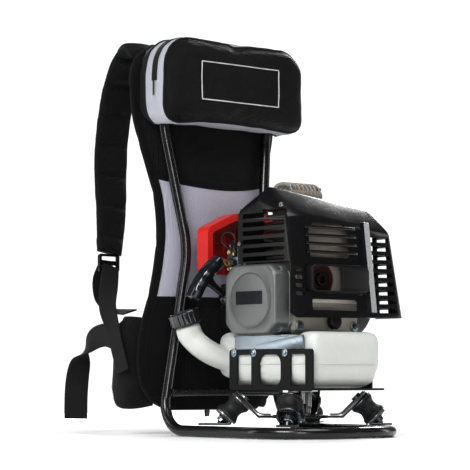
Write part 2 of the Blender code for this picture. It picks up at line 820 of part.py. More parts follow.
def make_crank_train():
    """Crankshaft, fan flywheel, clutch drum and the housings they turn in."""
    turned(
        "crankshaft",
        [(0.0, 0.157), (0.006, 0.157), (0.006, 0.118), (0.010, 0.118), (0.010, 0.0), (0.0, 0.0)],
        (-0.056, CRANK_Y, CRANK_Z), (1, 0, 0), "steel", steps=16,
    )
    turned(
        "flywheel",
        [(0.0064, 0.014), (0.042, 0.014), (0.042, 0.0), (0.0064, 0.0)],
        (0.077, CRANK_Y, CRANK_Z), (1, 0, 0), "cast_aluminium", steps=24,
    )
    turned(
        "fan_housing",
        [(0.013, 0.032), (0.040, 0.032), (0.048, 0.024), (0.048, 0.0), (0.0455, 0.0),
         (0.0455, 0.023), (0.039, 0.0295), (0.013, 0.0295)],
        (0.0705, CRANK_Y, CRANK_Z), (1, 0, 0), "plastic_black", steps=24,
    )
    turned(
        "clutch_housing",
        [(0.009, 0.017), (0.020, 0.017), (0.029, 0.010), (0.029, 0.0), (0.026, 0.0),
         (0.026, 0.009), (0.019, 0.0145), (0.009, 0.0145)],
        (0.1030, CRANK_Y, CRANK_Z), (1, 0, 0), "aluminium", steps=20,
    )
    turned(
        "clutch_drum",
        [(0.0, 0.030), (0.0055, 0.030), (0.0055, 0.0105), (0.018, 0.0105), (0.0225, 0.007),
         (0.0225, 0.0), (0.0200, 0.0), (0.0200, 0.006), (0.0, 0.006)],
        (0.1035, CRANK_Y, CRANK_Z), (1, 0, 0), "steel", steps=20,
    )
    turned(
        "output_coupling",
        [(0.0075, 0.018), (0.016, 0.018), (0.017, 0.016), (0.017, 0.006), (0.0195, 0.004),
         (0.0195, 0.0), (0.0075, 0.0)],
        (0.1204, CRANK_Y, CRANK_Z), (1, 0, 0), "zinc", steps=20,
    )


def make_cylinder():
    """Finned cylinder, ribbed rocker cover, spark plug and its rubber cap."""
    low, fins, pitch, thin = 0.2150, 9, 0.0092, 0.0028
    root, tip = 0.031, 0.0395
    profile = [(0.0, low + fins * pitch)]
    for fin in range(fins, 0, -1):
        high = low + fin * pitch
        profile += [(tip, high), (tip, high - thin), (root, high - thin), (root, high - pitch)]
    profile.append((0.0, low))
    turned("cylinder", profile, (CYLINDER_X, CYLINDER_Y, 0.0), (0, 0, 1), "cast_aluminium",
           steps=8, twist=math.pi / 8)
    top = low + fins * pitch + GAP
    box("rocker_cover", (-0.008, -0.146, top), (0.050, -0.106, 0.333), "cast_aluminium",
        bevel=0.010, segments=2)
    plug_start = Vector((CYLINDER_X + 0.040, CYLINDER_Y, 0.284))
    turned(
        "spark_plug",
        [(0.0, 0.030), (0.003, 0.030), (0.003, 0.022), (0.0045, 0.020), (0.0045, 0.010),
         (0.0075, 0.009), (0.0075, 0.0), (0.0, 0.0)],
        plug_start, (1, 0, 0), "ceramic", steps=10,
    )
    turned(
        "plug_cap",
        [(0.0, 0.030), (0.0075, 0.028), (0.0085, 0.012), (0.0085, 0.0), (0.0048, 0.0),
         (0.0048, 0.0186), (0.0, 0.0186)],
        plug_start + Vector((0.012, 0, 0)), (1, 0, 0), "rubber", steps=12,
    )


def make_muffler():
    low, high = (-0.032, -0.1910, 0.2150 + GAP), (0.086, -0.1735, 0.262)
    muffler = box("muffler", low, high, "steel", bevel=0.005)
    lower = box("muffler_lower", (-0.031, -0.2010, 0.172), (0.089, -0.1957, 0.222), None)
    shoulder = box("muffler_shoulder", (-0.030, -0.1990, 0.2165), (0.085, -0.1850, 0.2235), None)
    join(muffler, lower, shoulder)
    outlet = rod("outlet_bore", (-0.005, -0.215, 0.203), (-0.005, -0.185, 0.203), 0.0055, None)
    pipe = rod("outlet_pipe", (-0.005, -0.2055, 0.203), (-0.005, -0.1975, 0.203), 0.0080, None)
    join(muffler, pipe)
    cut(muffler, outlet)


GUARD_CORNERS = (
    (-0.060, -0.101, 0.2225), (-0.060, -0.101, 0.292), (-0.060, -0.136, 0.304),
    (-0.060, -0.198, 0.283), (-0.060, -0.208, 0.2225),
    (-0.048, -0.149, 0.324), (-0.030, -0.199, 0.285),
    (0.105, -0.152, 0.300), (0.103, -0.175, 0.299), (0.124, -0.165, 0.270),
    (0.124, -0.196, 0.268), (0.130, -0.165, 0.154), (0.130, -0.214, 0.154),
    (-0.060, -0.213, 0.152), (0.095, -0.214, 0.154),
)


def make_guard():
    """The moulded cover over muffler and cylinder: a faceted shell cut into slats."""
    bm = bmesh.new()
    verts = [bm.verts.new(corner) for corner in GUARD_CORNERS]
    bmesh.ops.convex_hull(bm, input=verts)
    bmesh.ops.recalc_face_normals(bm, faces=bm.faces)
    bmesh.ops.dissolve_limit(bm, angle_limit=math.radians(3), verts=bm.verts, edges=bm.edges)
    open_faces = [face for face in bm.faces if face.normal.y > 0.35 or face.normal.z < -0.35]
    bmesh.ops.delete(bm, geom=open_faces, context="FACES")
    guard = mesh_object("muffler_guard", bm)
    solid = guard.modifiers.new("Solidify", "SOLIDIFY")
    solid.thickness = GUARD_WALL
    solid.offset = -1.0
    solid.use_even_offset = True
    place(guard, "plastic_black")
    cut(guard, *guard_cutters())
    return guard


def guard_cutters():
    cutters = []
    for index in range(6):
        z = 0.226 + index * 0.0112
        cutters.append(box(f"side_slot_{index}", (-0.07, -0.192, z), (-0.05, -0.110, z + 0.006), None))
    for index in range(4):
        z = 0.230 + index * 0.0110
        cutters.append(box(f"front_slot_{index}", (-0.030, -0.22, z), (0.044, -0.18, z + 0.007), None))
    for index in range(9):
        z = 0.160 + index * 0.0117
        cutters.append(box(f"corner_slot_{index}", (0.082, -0.23, z), (0.1195, -0.175, z + 0.006), None))
        cutters.append(box(f"right_slot_{index}", (0.115, -0.190, z), (0.14, -0.171, z + 0.006), None))
    cutters.append(box("roof_opening", (-0.044, -0.1485, 0.285), (0.110, -0.05, 0.35), None))
    cutters.append(box("outlet_window", (-0.034, -0.24, 0.183), (0.0665, -0.18, 0.222), None))
    cutters.append(box("heat_window", (-0.030, -0.24, 0.162), (0.050, -0.18, 0.176), None))
    cutters.append(box("starter_clearance", (-0.07, -0.2025, 0.14), (-0.045, -0.08, 0.2238), None))
    return cutters


def make_exhaust_box():
    """The square nozzle around the outlet, standing out of the guard."""
    nozzle = box("exhaust_nozzle", (-0.033, -0.224, 0.1835), (0.0655, -0.2025, 0.2215),
                 "plastic_black", bevel=0.006, segments=2)
    mouth = box("nozzle_mouth", (-0.029, -0.23, 0.1875), (0.016, -0.19, 0.2175), None)
    back = box("nozzle_back", (0.014, -0.2215, 0.1875), (0.0615, -0.19, 0.2175), None)
    cut(nozzle, mouth, back)


# ---------------------------------------------------------------- fuel and air


def make_intake():
    carb = box("carburettor", (-0.050, -0.0911, 0.214), (-0.014, -0.064, 0.248), "zinc", bevel=0.003)
    bowl = rod("carburettor_bowl", (-0.032, -0.077, 0.209), (-0.032, -0.077, 0.216), 0.012, None)
    bulb_space = rod("bulb_space", (-0.032, -0.077, 0.20), (-0.032, -0.077, 0.2125), 0.0090, None)
    flange = box("intake_flange", (-0.044, -0.0968, 0.216), (-0.018, -0.090, 0.246), None)
    join(carb, bowl, flange)
    cut(carb, bulb_space)
    make_lever("throttle_lever", (-0.0520, -0.072, 0.226), 0.014, 0.006, "brass")
    make_lever("choke_lever", (-0.0520, -0.083, 0.238), 0.004, 0.018, "plastic_black")
    turned(
        "primer_bulb",
        [(0.0, 0.0), (0.0075, 0.0), (0.0085, -0.002), (0.0070, -0.0065), (0.0040, -0.0085),
         (0.0, -0.0090)],
        (-0.032, -0.077, 0.2086), (0, 0, 1), "rubber", steps=14,
    )
    box("air_filter_box", (-0.0135, -0.0880, 0.206), (0.058, -0.046, 0.262), "plastic_black",
        bevel=0.006)


def make_lever(name, hinge, reach_y, reach_z, slot):
    """A flat lever on the side of the carburettor, with its origin on its pivot."""
    tip = (reach_y, reach_z)
    length = math.hypot(*tip)
    side = (-tip[1] / length, tip[0] / length)
    outline = []
    for step in range(7):
        turn = math.pi * step / 6
        along, across = -0.004 * math.sin(turn), -0.004 * math.cos(turn)
        outline.append(
            (along * tip[0] / length + across * side[0], along * tip[1] / length + across * side[1])
        )
    outline += [(tip[0] + 0.0025 * side[0], tip[1] + 0.0025 * side[1]),
                (tip[0] - 0.0025 * side[0], tip[1] - 0.0025 * side[1])]
    outline = [(-y, z) for y, z in outline]
    plate(name, outline, 0.0016, facing((-1, 0, 0), (0, 0, 1), hinge), slot)


def make_rear_cover():
    """The red cover behind the engine, open towards it."""
    outline = [(0.0615, 0.214), (0.0615, 0.275), (0.012, 0.297), (-0.058, 0.297), (-0.070, 0.285),
               (-0.070, 0.214)]
    matrix = facing((0, 1, 0), (0, 0, 1), (0.0, -0.0295, 0.0))
    cover = plate("rear_cover", outline, 0.023, matrix, "plastic_red", bevel=0.003)
    inner = [(0.0525, 0.20), (0.0525, 0.268), (0.010, 0.287), (-0.054, 0.287), (-0.060, 0.281),
             (-0.060, 0.20)]
    recess_place = facing((0, 1, 0), (0, 0, 1), (0.0, -0.0355, 0.0))
    cut(cover, plate("rear_cover_recess", inner, 0.023, recess_place, None))


def make_oil_cap():
    turned(
        "oil_cap",
        [(0.0, 0.009), (0.008, 0.009), (0.010, 0.007), (0.010, 0.0), (0.0, 0.0)],
        (0.020, -0.1954, 0.148), (0, -1, 0), "plastic_black", steps=12,
    )


# ---------------------------------------------------------------- the whole machine


def build():
    tube_space = make_frame_tube()
    panel_space = make_back_panel()
    make_pouch(tube_space, panel_space)
    make_straps()
    make_buckle("strap_buckle_left", -1)
    make_buckle("strap_buckle_right", 1)
    frames = buffer_frames()
    make_spider(frames)
    for name, frame, reach in frames:
        make_buffer(name, frame, reach)
    make_pivot()
    make_cradle()
    make_tank()
    make_engine_plate()
    make_crankcase()
    make_starter()
    make_crank_train()
    make_cylinder()
    make_muffler()
    make_guard()
    make_exhaust_box()
    make_intake()
    make_rear_cover()
    make_oil_cap()


build()
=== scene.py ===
"""Looks of a concrete vibrator's backpack drive unit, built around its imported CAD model."""

import math

import bmesh
import bpy
from mathutils import Matrix, Vector, noise


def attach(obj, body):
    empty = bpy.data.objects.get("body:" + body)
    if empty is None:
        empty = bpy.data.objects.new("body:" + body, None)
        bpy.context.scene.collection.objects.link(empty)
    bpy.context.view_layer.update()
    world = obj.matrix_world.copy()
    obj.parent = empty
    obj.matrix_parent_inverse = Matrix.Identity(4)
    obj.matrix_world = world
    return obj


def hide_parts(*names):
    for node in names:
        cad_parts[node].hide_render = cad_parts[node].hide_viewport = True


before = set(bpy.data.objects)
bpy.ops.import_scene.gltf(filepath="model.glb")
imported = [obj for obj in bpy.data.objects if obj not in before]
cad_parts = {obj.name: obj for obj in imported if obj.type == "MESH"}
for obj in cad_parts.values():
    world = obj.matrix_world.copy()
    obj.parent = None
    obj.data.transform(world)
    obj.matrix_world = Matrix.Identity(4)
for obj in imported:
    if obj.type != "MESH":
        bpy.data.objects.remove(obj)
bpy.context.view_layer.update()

# Pieces are modelled in the machine's own frame: x = 0 on the middle plane, y = 0 at the
# uprights, z = 0 on the ground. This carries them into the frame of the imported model.
MACHINE_SHIFT = Vector((-0.001, 0.038, 0.0))

EYE = Vector((-1.750, -2.046, 0.080))
TARGET = Vector((0.011, 0.028, 0.270))
LENS = 153.0

CRANK = Vector((0.0, -0.146, 0.176))
PIVOT = Vector((0.0, -0.155, 0.0))
OUTLET = Vector((-0.0075, -0.2008, 0.2015))
X_AXIS, Y_AXIS, Z_AXIS = Vector((1, 0, 0)), Vector((0, 1, 0)), Vector((0, 0, 1))


# ---------------------------------------------------------------- shader helpers


def node(tree, kind, inputs=(), **settings):
    """One shader node; a socket given as an input is linked, anything else is its value."""
    made = tree.nodes.new("ShaderNode" + kind)
    for key, value in settings.items():
        setattr(made, key, value)
    for key, value in dict(inputs).items():
        if isinstance(value, bpy.types.NodeSocket):
            tree.links.new(value, made.inputs[key])
        else:
            made.inputs[key].default_value = value
    return made


def shader(name, slot_colour, roughness, metallic=0.0, **inputs):
    material = bpy.data.materials.new(name)
    material.use_nodes = True
    tree = material.node_tree
    bsdf = tree.nodes["Principled BSDF"]
    bsdf.inputs["Base Color"].default_value = (*slot_colour, 1.0)
    bsdf.inputs["Roughness"].default_value = roughness
    bsdf.inputs["Metallic"].default_value = metallic
    for key, value in inputs.items():
        bsdf.inputs[key.replace("_", " ")].default_value = value
    material.diffuse_color = (*slot_colour, 1.0)
    return material, tree, bsdf


def place_of(tree, stretch=(1, 1, 1)):
    """Position on the piece in metres, stretched along the axes if asked."""
    spot = node(tree, "TexCoord").outputs["Object"]
    return node(tree, "Mapping", {"Vector": spot, "Scale": stretch}).outputs["Vector"]


def cloud(tree, scale, detail=3.0, roughness=0.55, stretch=(1, 1, 1)):
    settings = {"Vector": place_of(tree, stretch), "Scale": scale, "Detail": detail,
                "Roughness": roughness}
    return node(tree, "TexNoise", settings).outputs["Fac"]


def calc(tree, operation, first, second=0.0, third=0.0):
    made = node(tree, "Math", {0: first, 1: second, 2: third}, operation=operation)
    return made.outputs["Value"]


def span(tree, value, low, high, to_low=0.0, to_high=1.0, smooth=False):
    """Maps value from low..high to to_low..to_high, held at both ends."""
    kind = "SMOOTHSTEP" if smooth else "LINEAR"
    settings = {"Value": value, 1: low, 2: high, 3: to_low, 4: to_high}
    return node(tree, "MapRange", settings, interpolation_type=kind).outputs["Result"]


def blend(tree, share, first, second, mode="MIX"):
    """Mixes two colours; each is a socket or three numbers."""
    made = node(tree, "Mix", {0: share}, data_type="RGBA", blend_type=mode)
    for index, colour in ((6, first), (7, second)):
        if isinstance(colour, bpy.types.NodeSocket):
            tree.links.new(colour, made.inputs[index])
        else:
            made.inputs[index].default_value = (*colour, 1.0)
    return made.outputs[2]


def bump(tree, bsdf, height, distance, strength=1.0):
    """Adds a layer of relief on top of what the shader has."""
    inputs = {"Height": height, "Distance": distance, "Strength": strength}
    links = bsdf.inputs["Normal"].links
    if links:
        inputs["Normal"] = links[0].from_socket
    relief = node(tree, "Bump", inputs)
    tree.links.new(relief.outputs["Normal"], bsdf.inputs["Normal"])


def tinted(colour, factor):
    return tuple(min(1.0, channel * factor) for channel in colour)


def hard_surface(name, colour, roughness, metallic=0.0, grain=(1400, 0.00004), spread=0.04,
                 mottle=0.08, scratches=0.0, worn=None, **inputs):
    """Plastic, paint or metal: fine grain, uneven gloss and colour, scratches, worn edges."""
    material, tree, bsdf = shader(name, colour, roughness, metallic, **inputs)
    patches = cloud(tree, 22, 4)
    tint = blend(tree, patches, tinted(colour, 1 - mottle), tinted(colour, 1 + mottle))
    gloss = span(tree, cloud(tree, 60, 5), 0.3, 0.7, roughness - spread, roughness + spread)
    if scratches:
        lines = cloud(tree, 90, 2, 0.4, (1, 14, 3))
        marks = span(tree, lines, 0.62, 0.70, 0.0, scratches)
        tint = blend(tree, marks, tint, tinted(colour, 1.9))
        gloss = calc(tree, "ADD", gloss, calc(tree, "MULTIPLY", marks, 0.2))
    if worn:
        edge = node(tree, "NewGeometry").outputs["Pointiness"]
        rubbed = calc(tree, "MULTIPLY", span(tree, edge, 0.54, 0.62), span(tree, patches, 0.4, 0.6))
        tint = blend(tree, calc(tree, "MULTIPLY", rubbed, 0.35), tint, worn)
    tree.links.new(tint, bsdf.inputs["Base Color"])
    tree.links.new(gloss, bsdf.inputs["Roughness"])
    bump(tree, bsdf, cloud(tree, grain[0], 2), grain[1])
    bump(tree, bsdf, cloud(tree, 160, 2), grain[1] * 0.25)
    return material


def weave_height(tree, thread):
    """A lattice of raised threads that reads as plain weave on a face of any direction."""
    turns = 2 * math.pi / thread
    waves = node(tree, "VectorMath", {0: place_of(tree, (turns, turns, turns))}, operation="SINE")
    axes = node(tree, "SeparateXYZ", {0: waves.outputs["Vector"]}).outputs
    crossed = [calc(tree, "MULTIPLY", axes[a], axes[b]) for a, b in ((0, 1), (1, 2), (0, 2))]
    return calc(tree, "ADD", crossed[0], calc(tree, "ADD", crossed[1], crossed[2]))


def woven(name, colour, thread=0.0016, roughness=0.8, wrinkle=0.0012, sheen=0.06, weave=0.00018):
    """Nylon or polyester cloth with a plain weave, dusty sheen and soft wrinkles; the colour is painted
    lighter on the threads' tops and darker between them, as painted highlight and shade.
    """
    material, tree, bsdf = shader(name, colour, roughness, Sheen_Weight=sheen, Sheen_Roughness=0.5,
                                  Specular_IOR_Level=0.16)
    threads = weave_height(tree, thread)
    # painted highlight and shade: lighter colour on the threads' tops, darker in the gaps between them
    painted_thread_shade = calc(tree, "MULTIPLY_ADD", span(tree, threads, -1, 1), 0.35, 0.12)
    tint = blend(tree, painted_thread_shade, tinted(colour, 0.62), tinted(colour, 1.5))
    dusty = span(tree, cloud(tree, 30, 4), 0.4, 0.75, 0.0, 0.25)
    grey = sum(colour) / 3
    tint = blend(tree, dusty, tint, (grey * 1.3 + 0.006,) * 3)
    tree.links.new(tint, bsdf.inputs["Base Color"])
    bump(tree, bsdf, threads, weave)
    bump(tree, bsdf, cloud(tree, 38, 3, 0.6, (1, 1, 0.6)), wrinkle)
    return material


def air_mesh_height(tree):
    cells = node(tree, "TexVoronoi", {"Vector": place_of(tree), "Scale": 330.0, "Randomness": 0.15})
    return span(tree, cells.outputs["Distance"], 0.10, 0.45)


def attribute(tree, name):
    return node(tree, "Attribute", attribute_name=name).outputs["Fac"]


def webbing_material(name, colour):
    """Woven band: ribs across it and a herringbone of fine threads between woven edges, coloured
    lighter on the ribs' tops and darker in the grooves as painted highlight and shade.
    """
    material, tree, bsdf = shader(name, colour, 0.66, Sheen_Weight=0.06, Specular_IOR_Level=0.25)
    along, across = attribute(tree, "along"), attribute(tree, "across")
    slant = calc(tree, "ABSOLUTE", calc(tree, "SINE", calc(tree, "MULTIPLY", across, 900.0)))
    phase = calc(tree, "MULTIPLY_ADD", slant, 2.2, calc(tree, "MULTIPLY", along, 4200.0))
    ribs = calc(tree, "SINE", phase)
    edges = calc(tree, "SINE", calc(tree, "MULTIPLY", across, 5200.0))
    height = calc(tree, "MULTIPLY_ADD", edges, 0.35, ribs)
    # painted highlight and shade: lighter colour on the ribs' tops, darker in the grooves
    tint = blend(tree, span(tree, height, -1.2, 1.2), tinted(colour, 0.5), tinted(colour, 2.1))
    fuzz = span(tree, cloud(tree, 45, 4), 0.45, 0.8, 0.0, 0.3)
    tint = blend(tree, fuzz, tint, tinted(colour, 2.6))
    tree.links.new(tint, bsdf.inputs["Base Color"])
    bump(tree, bsdf, height, 0.00022)
    return material


def tank_material():
    """Blow-moulded natural polyethylene: milky, softly translucent, with a faint orange peel."""
    colour = (0.62, 0.635, 0.61)
    material, tree, bsdf = shader(
        "tank_white", colour, 0.34, Subsurface_Weight=0.35, Subsurface_Scale=0.005,
        Coat_Weight=0.12, Coat_Roughness=0.2,
    )
    bsdf.inputs["Subsurface Radius"].default_value = (1.0, 0.95, 0.8)
    tint = blend(tree, cloud(tree, 14, 3), (0.585, 0.60, 0.57), (0.655, 0.67, 0.65))
    tree.links.new(tint, bsdf.inputs["Base Color"])
    gloss = span(tree, cloud(tree, 70, 4), 0.3, 0.7, 0.28, 0.46)
    tree.links.new(gloss, bsdf.inputs["Roughness"])
    bump(tree, bsdf, cloud(tree, 240, 3), 0.00018)
    bump(tree, bsdf, cloud(tree, 28, 2), 0.0009)
    return material


def heated_steel():
    """Aluminised sheet, tinted by heat in rings around the outlet."""
    colour = (0.62, 0.58, 0.52)
    material, tree, bsdf = shader("heated_steel", colour, 0.42, 0.40)
    spot = node(tree, "TexCoord").outputs["Object"]
    inputs = {0: spot, 1: (OUTLET.x, -0.201, OUTLET.z)}
    reach = node(tree, "VectorMath", inputs, operation="DISTANCE").outputs["Value"]
    ragged = calc(tree, "MULTIPLY_ADD", cloud(tree, 70, 3), 0.003, reach)
    ramp = tree.nodes.new("ShaderNodeValToRGB")
    tree.links.new(calc(tree, "MULTIPLY", ragged, 14.0), ramp.inputs["Fac"])
    stops = ((0.14, (0.020, 0.012, 0.010)), (0.24, (0.045, 0.018, 0.012)), (0.31, (0.09, 0.030, 0.018)),
             (0.335, (0.16, 0.06, 0.035)), (0.36, (0.66, 0.62, 0.58)), (0.85, colour))
    for position, tone in stops:
        ramp.color_ramp.elements.new(position).color = (*tone, 1.0)
    tree.links.new(ramp.outputs["Color"], bsdf.inputs["Base Color"])
    bump(tree, bsdf, cloud(tree, 260, 4), 0.00012)
    return material


def panel_material():
    """The back panel's cloths: light grey between black bands, mesh above, black edging; threads carry
    painted highlight and shade, and the mesh's holes carry painted shade.
    """
    black, grey = (0.0060, 0.0060, 0.0068), (0.46, 0.455, 0.53)
    material, tree, bsdf = shader("panel_cloth", grey, 0.82, Sheen_Weight=0.05,
                                  Specular_IOR_Level=0.12)
    spot = node(tree, "SeparateXYZ", {0: node(tree, "TexCoord").outputs["Object"]}).outputs
    width = calc(tree, "MULTIPLY", spot["X"], spot["X"])
    top_seam = calc(tree, "MULTIPLY_ADD", width, SAG, TOP_SEAM)
    below_top = calc(tree, "LESS_THAN", spot["Z"], top_seam)
    above_low = calc(tree, "GREATER_THAN", spot["Z"], LOW_SEAM)
    inside = calc(tree, "GREATER_THAN", attribute(tree, "edge"), EDGING)
    front = calc(tree, "LESS_THAN", attribute(tree, "rear"), 0.5)
    grey_part = calc(tree, "MULTIPLY", calc(tree, "MULTIPLY", below_top, above_low),
                     calc(tree, "MULTIPLY", inside, front))
    in_band = calc(tree, "MULTIPLY_ADD", width, SAG, TOP_SEAM + 0.013)
    mesh_part = calc(tree, "MULTIPLY", calc(tree, "GREATER_THAN", spot["Z"], in_band), inside)
    rear_mesh = calc(tree, "MULTIPLY", calc(tree, "SUBTRACT", 1.0, front), inside)
    mesh_part = calc(tree, "MAXIMUM", mesh_part, rear_mesh)
    threads, holes = weave_height(tree, 0.0017), air_mesh_height(tree)
    # painted highlight and shade: lighter colour on the threads' tops, darker in the gaps between them
    painted_thread_light = span(tree, threads, -1.5, 1.5)
    black_cloth = blend(tree, painted_thread_light, tinted(black, 0.6), tinted(black, 1.7))
    grey_cloth = blend(tree, painted_thread_light, tinted(grey, 0.86), tinted(grey, 1.1))
    # painted shade: the mesh's holes are coloured darker than its strands
    mesh_with_painted_hole_shade = blend(tree, holes, tinted(black, 0.2), tinted(black, 1.5))
    tint = blend(tree, grey_part, blend(tree, mesh_part, black_cloth, mesh_with_painted_hole_shade), grey_cloth)
    soiled = span(tree, cloud(tree, 12, 4), 0.45, 0.8, 0.0, 0.25)
    tint = blend(tree, soiled, tint, (0.75, 0.74, 0.74), "MULTIPLY")
    tree.links.new(tint, bsdf.inputs["Base Color"])
    relief = node(tree, "Mix", {0: mesh_part, 2: threads, 3: calc(tree, "MULTIPLY", holes, 2.5)})
    bump(tree, bsdf, relief.outputs[0], 0.00022)
    bump(tree, bsdf, cloud(tree, 20, 3, 0.55, (1, 1, 0.5)), 0.0020)
    return material


def pouch_material():
    """Black front and rear edging, light grey gusset between the seams; threads carry painted highlight
    and shade, and the black carries patches of painted sheen.
    """
    black, grey = (0.0045, 0.0045, 0.0048), (0.44, 0.45, 0.49)
    material, tree, bsdf = shader("pouch_cloth", black, 0.6, Sheen_Weight=0.03,
                                  Specular_IOR_Level=0.12)
    spot = node(tree, "SeparateXYZ", {0: node(tree, "TexCoord").outputs["Object"]}).outputs
    gusset = calc(tree, "MULTIPLY", calc(tree, "GREATER_THAN", spot["Y"], FRONT_SEAM),
                  calc(tree, "LESS_THAN", spot["Y"], REAR_SEAM))
    threads = weave_height(tree, 0.0016)
    # painted highlight and shade on the threads: lighter tops, darker gaps
    painted_thread_light = span(tree, threads, -1.5, 1.5)
    dark = blend(tree, painted_thread_light, tinted(black, 0.6), tinted(black, 1.8))
    light = blend(tree, painted_thread_light, tinted(grey, 0.88), tinted(grey, 1.08))
    # painted sheen: lighter patches on the black cloth
    painted_sheen = span(tree, cloud(tree, 9, 3), 0.42, 0.72, 0.0, 0.6)
    dark = blend(tree, painted_sheen, dark, (0.014, 0.013, 0.012))
    tree.links.new(blend(tree, gusset, dark, light), bsdf.inputs["Base Color"])
    gloss = calc(tree, "MULTIPLY_ADD", gusset, 0.28, 0.46)
    tree.links.new(gloss, bsdf.inputs["Roughness"])
    bump(tree, bsdf, threads, 0.00014)
    bump(tree, bsdf, cloud(tree, 26, 4, 0.6), 0.0026)
    return material


FRONT_SEAM, REAR_SEAM = -0.0225, 0.0135
TOP_SEAM, LOW_SEAM, SAG, EDGING = 0.331, 0.1845, 1.3, 0.0085

PAINT = hard_surface("powder_coat", (0.006, 0.006, 0.007), 0.26, grain=(420, 0.00002), spread=0.05,
                     Coat_Weight=0.5, Coat_Roughness=0.16)
PLASTIC = hard_surface("moulded_black", (0.0070, 0.0070, 0.0080), 0.24, grain=(1500, 0.00002),
                       Specular_IOR_Level=0.40)
MATT = hard_surface("grained_black", (0.0085, 0.0085, 0.0095), 0.46, grain=(1300, 0.00005),
                    Specular_IOR_Level=0.22)
GLOSSY = hard_surface("gloss_black", (0.008, 0.010, 0.014), 0.12, spread=0.04, scratches=0.3,
                      Coat_Weight=0.8)
RED = hard_surface("moulded_red", (0.56, 0.020, 0.016), 0.33, grain=(1200, 0.00005),
                   Coat_Weight=0.2)
# painted shade: a darker copy of the red, for the cover's recess
SHADED_RECESS_RED = hard_surface("recess_red_painted_shade", (0.26, 0.010, 0.010), 0.42, grain=(1200, 0.00006))
RUBBER = hard_surface("rubber", (0.012, 0.012, 0.013), 0.55, grain=(900, 0.00010), mottle=0.25)
ZINC = hard_surface("zinc_plate", (0.27, 0.31, 0.34), 0.24, 1.0, grain=(800, 0.00004), mottle=0.10,
                    scratches=0.3)
SATIN = hard_surface("satin_aluminium", (0.185, 0.189, 0.186), 0.36, 0.65, grain=(1700, 0.00010),
                     worn=(0.78, 0.78, 0.76), mottle=0.06)
CAST = hard_surface("cast_aluminium", (0.36, 0.335, 0.30), 0.55, 0.60, grain=(620, 0.00022),
                    mottle=0.18)
# painted shade: a darker copy of the cast aluminium, for the cylinder's fins, which sit in the guard's
# shade
SHADED_FINS = hard_surface("fin_casting_painted_shade", (0.13, 0.115, 0.095), 0.48, 0.65, grain=(620, 0.00015),
                    mottle=0.18)
STEEL = hard_surface("bare_steel", (0.40, 0.40, 0.39), 0.32, 1.0, scratches=0.4)
BRONZED = hard_surface("heat_browned_steel", (0.42, 0.375, 0.32), 0.34, 0.55, scratches=0.3)
BRASS = hard_surface("brass", (0.68, 0.48, 0.20), 0.30, 1.0, scratches=0.3)
CERAMIC = hard_surface("ceramic", (0.86, 0.85, 0.82), 0.12, spread=0.03, grain=(300, 0.00003))
THREAD = woven("thread", (0.022, 0.022, 0.024), 0.0006, wrinkle=0.0)
QUILT = woven("quilted_nylon", (0.0060, 0.0060, 0.0068), roughness=0.66, wrinkle=0.0022)
PAD_CLOTH = woven("pad_nylon", (0.011, 0.0110, 0.0118), roughness=0.74, wrinkle=0.0024)
BINDING = woven("binding_tape", (0.015, 0.016, 0.018), 0.0011, wrinkle=0.0006)
PATCH = woven("reflective_piping", (0.80, 0.80, 0.81), 0.0010, 0.45, 0.0002)
WEBBING = webbing_material("webbing", (0.0085, 0.0085, 0.0090))
TANK = tank_material()
HEATED = heated_steel()


# ---------------------------------------------------------------- mesh helpers


def keep(name, bm, material, body, replaces=(), shifted=True, angle=35, bevel=0.0):
    """Turns a finished bmesh into a piece that rides on a CAD body."""
    bmesh.ops.recalc_face_normals(bm, faces=bm.faces)
    mesh = bpy.data.meshes.new(name)
    bm.to_mesh(mesh)
    bm.free()
    mesh.shade_smooth()
    mesh.set_sharp_from_angle(angle=math.radians(angle))
    mesh.materials.append(material)
    obj = bpy.data.objects.new(name, mesh)
    bpy.context.scene.collection.objects.link(obj)
    if shifted:
        obj.location = MACHINE_SHIFT
    if bevel:
        round_edges(obj, bevel)
    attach(obj, body)
    if replaces:
        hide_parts(*replaces)
    return obj


def round_edges(obj, width, segments=2, angle=28):
    bevel = obj.modifiers.new("Bevel", "BEVEL")
    bevel.width = width
    bevel.segments = segments
    bevel.limit_method = "ANGLE"
    bevel.angle_limit = math.radians(angle)
    bevel.use_clamp_overlap = True
    bevel.harden_normals = True


def skin(bm, rings, closed=False, caps=True):
    """Faces between neighbouring rings of points, with flat ends."""
    made = [[bm.verts.new(point) for point in ring] for ring in rings]
    count = len(made[0])
    pairs = list(zip(made, made[1:]))
    if closed:
        pairs.append((made[-1], made[0]))
    for low, high in pairs:
        for i in range(count):
            j = (i + 1) % count
            bm.faces.new((low[i], low[j], high[j], high[i]))
    if caps and not closed:
        bm.faces.new(made[0][::-1])
        bm.faces.new(made[-1])
    return made


def sweep(bm, path, section, closed=False, caps=True, up=None):
    """Carries a section along a path; section is a list of (a, b) or a function of the share."""
    points = [Vector(point) for point in path]
    count = len(points)
    rings, side = [], None
    for i, point in enumerate(points):
        before = points[i - 1] if closed or i else points[0]
        after = points[(i + 1) % count] if closed or i + 1 < count else points[-1]
        ahead = (after - before).normalized()
        if side is None:
            guess = Vector(up) if up else ahead.orthogonal()
            side = (guess - ahead * guess.dot(ahead)).normalized()
        side = (side - ahead * side.dot(ahead)).normalized()
        other = ahead.cross(side)
        shape = section(i / max(1, count - 1)) if callable(section) else section
        rings.append([point + side * a + other * b for a, b in shape])
    return skin(bm, rings, closed, caps)


def circle(radius, sides=16, squash=1.0):
    turns = [2 * math.pi * i / sides for i in range(sides)]
    return [(radius * math.cos(t), radius * squash * math.sin(t)) for t in turns]


def pill(half_width, half_height, sides=24, power=0.5):
    """A rounded flat section: a superellipse."""
    points = []
    for i in range(sides):
        turn = 2 * math.pi * i / sides
        c, s = math.cos(turn), math.sin(turn)
        points.append((math.copysign(abs(c) ** power, c) * half_width,
                       math.copysign(abs(s) ** power, s) * half_height))
    return points


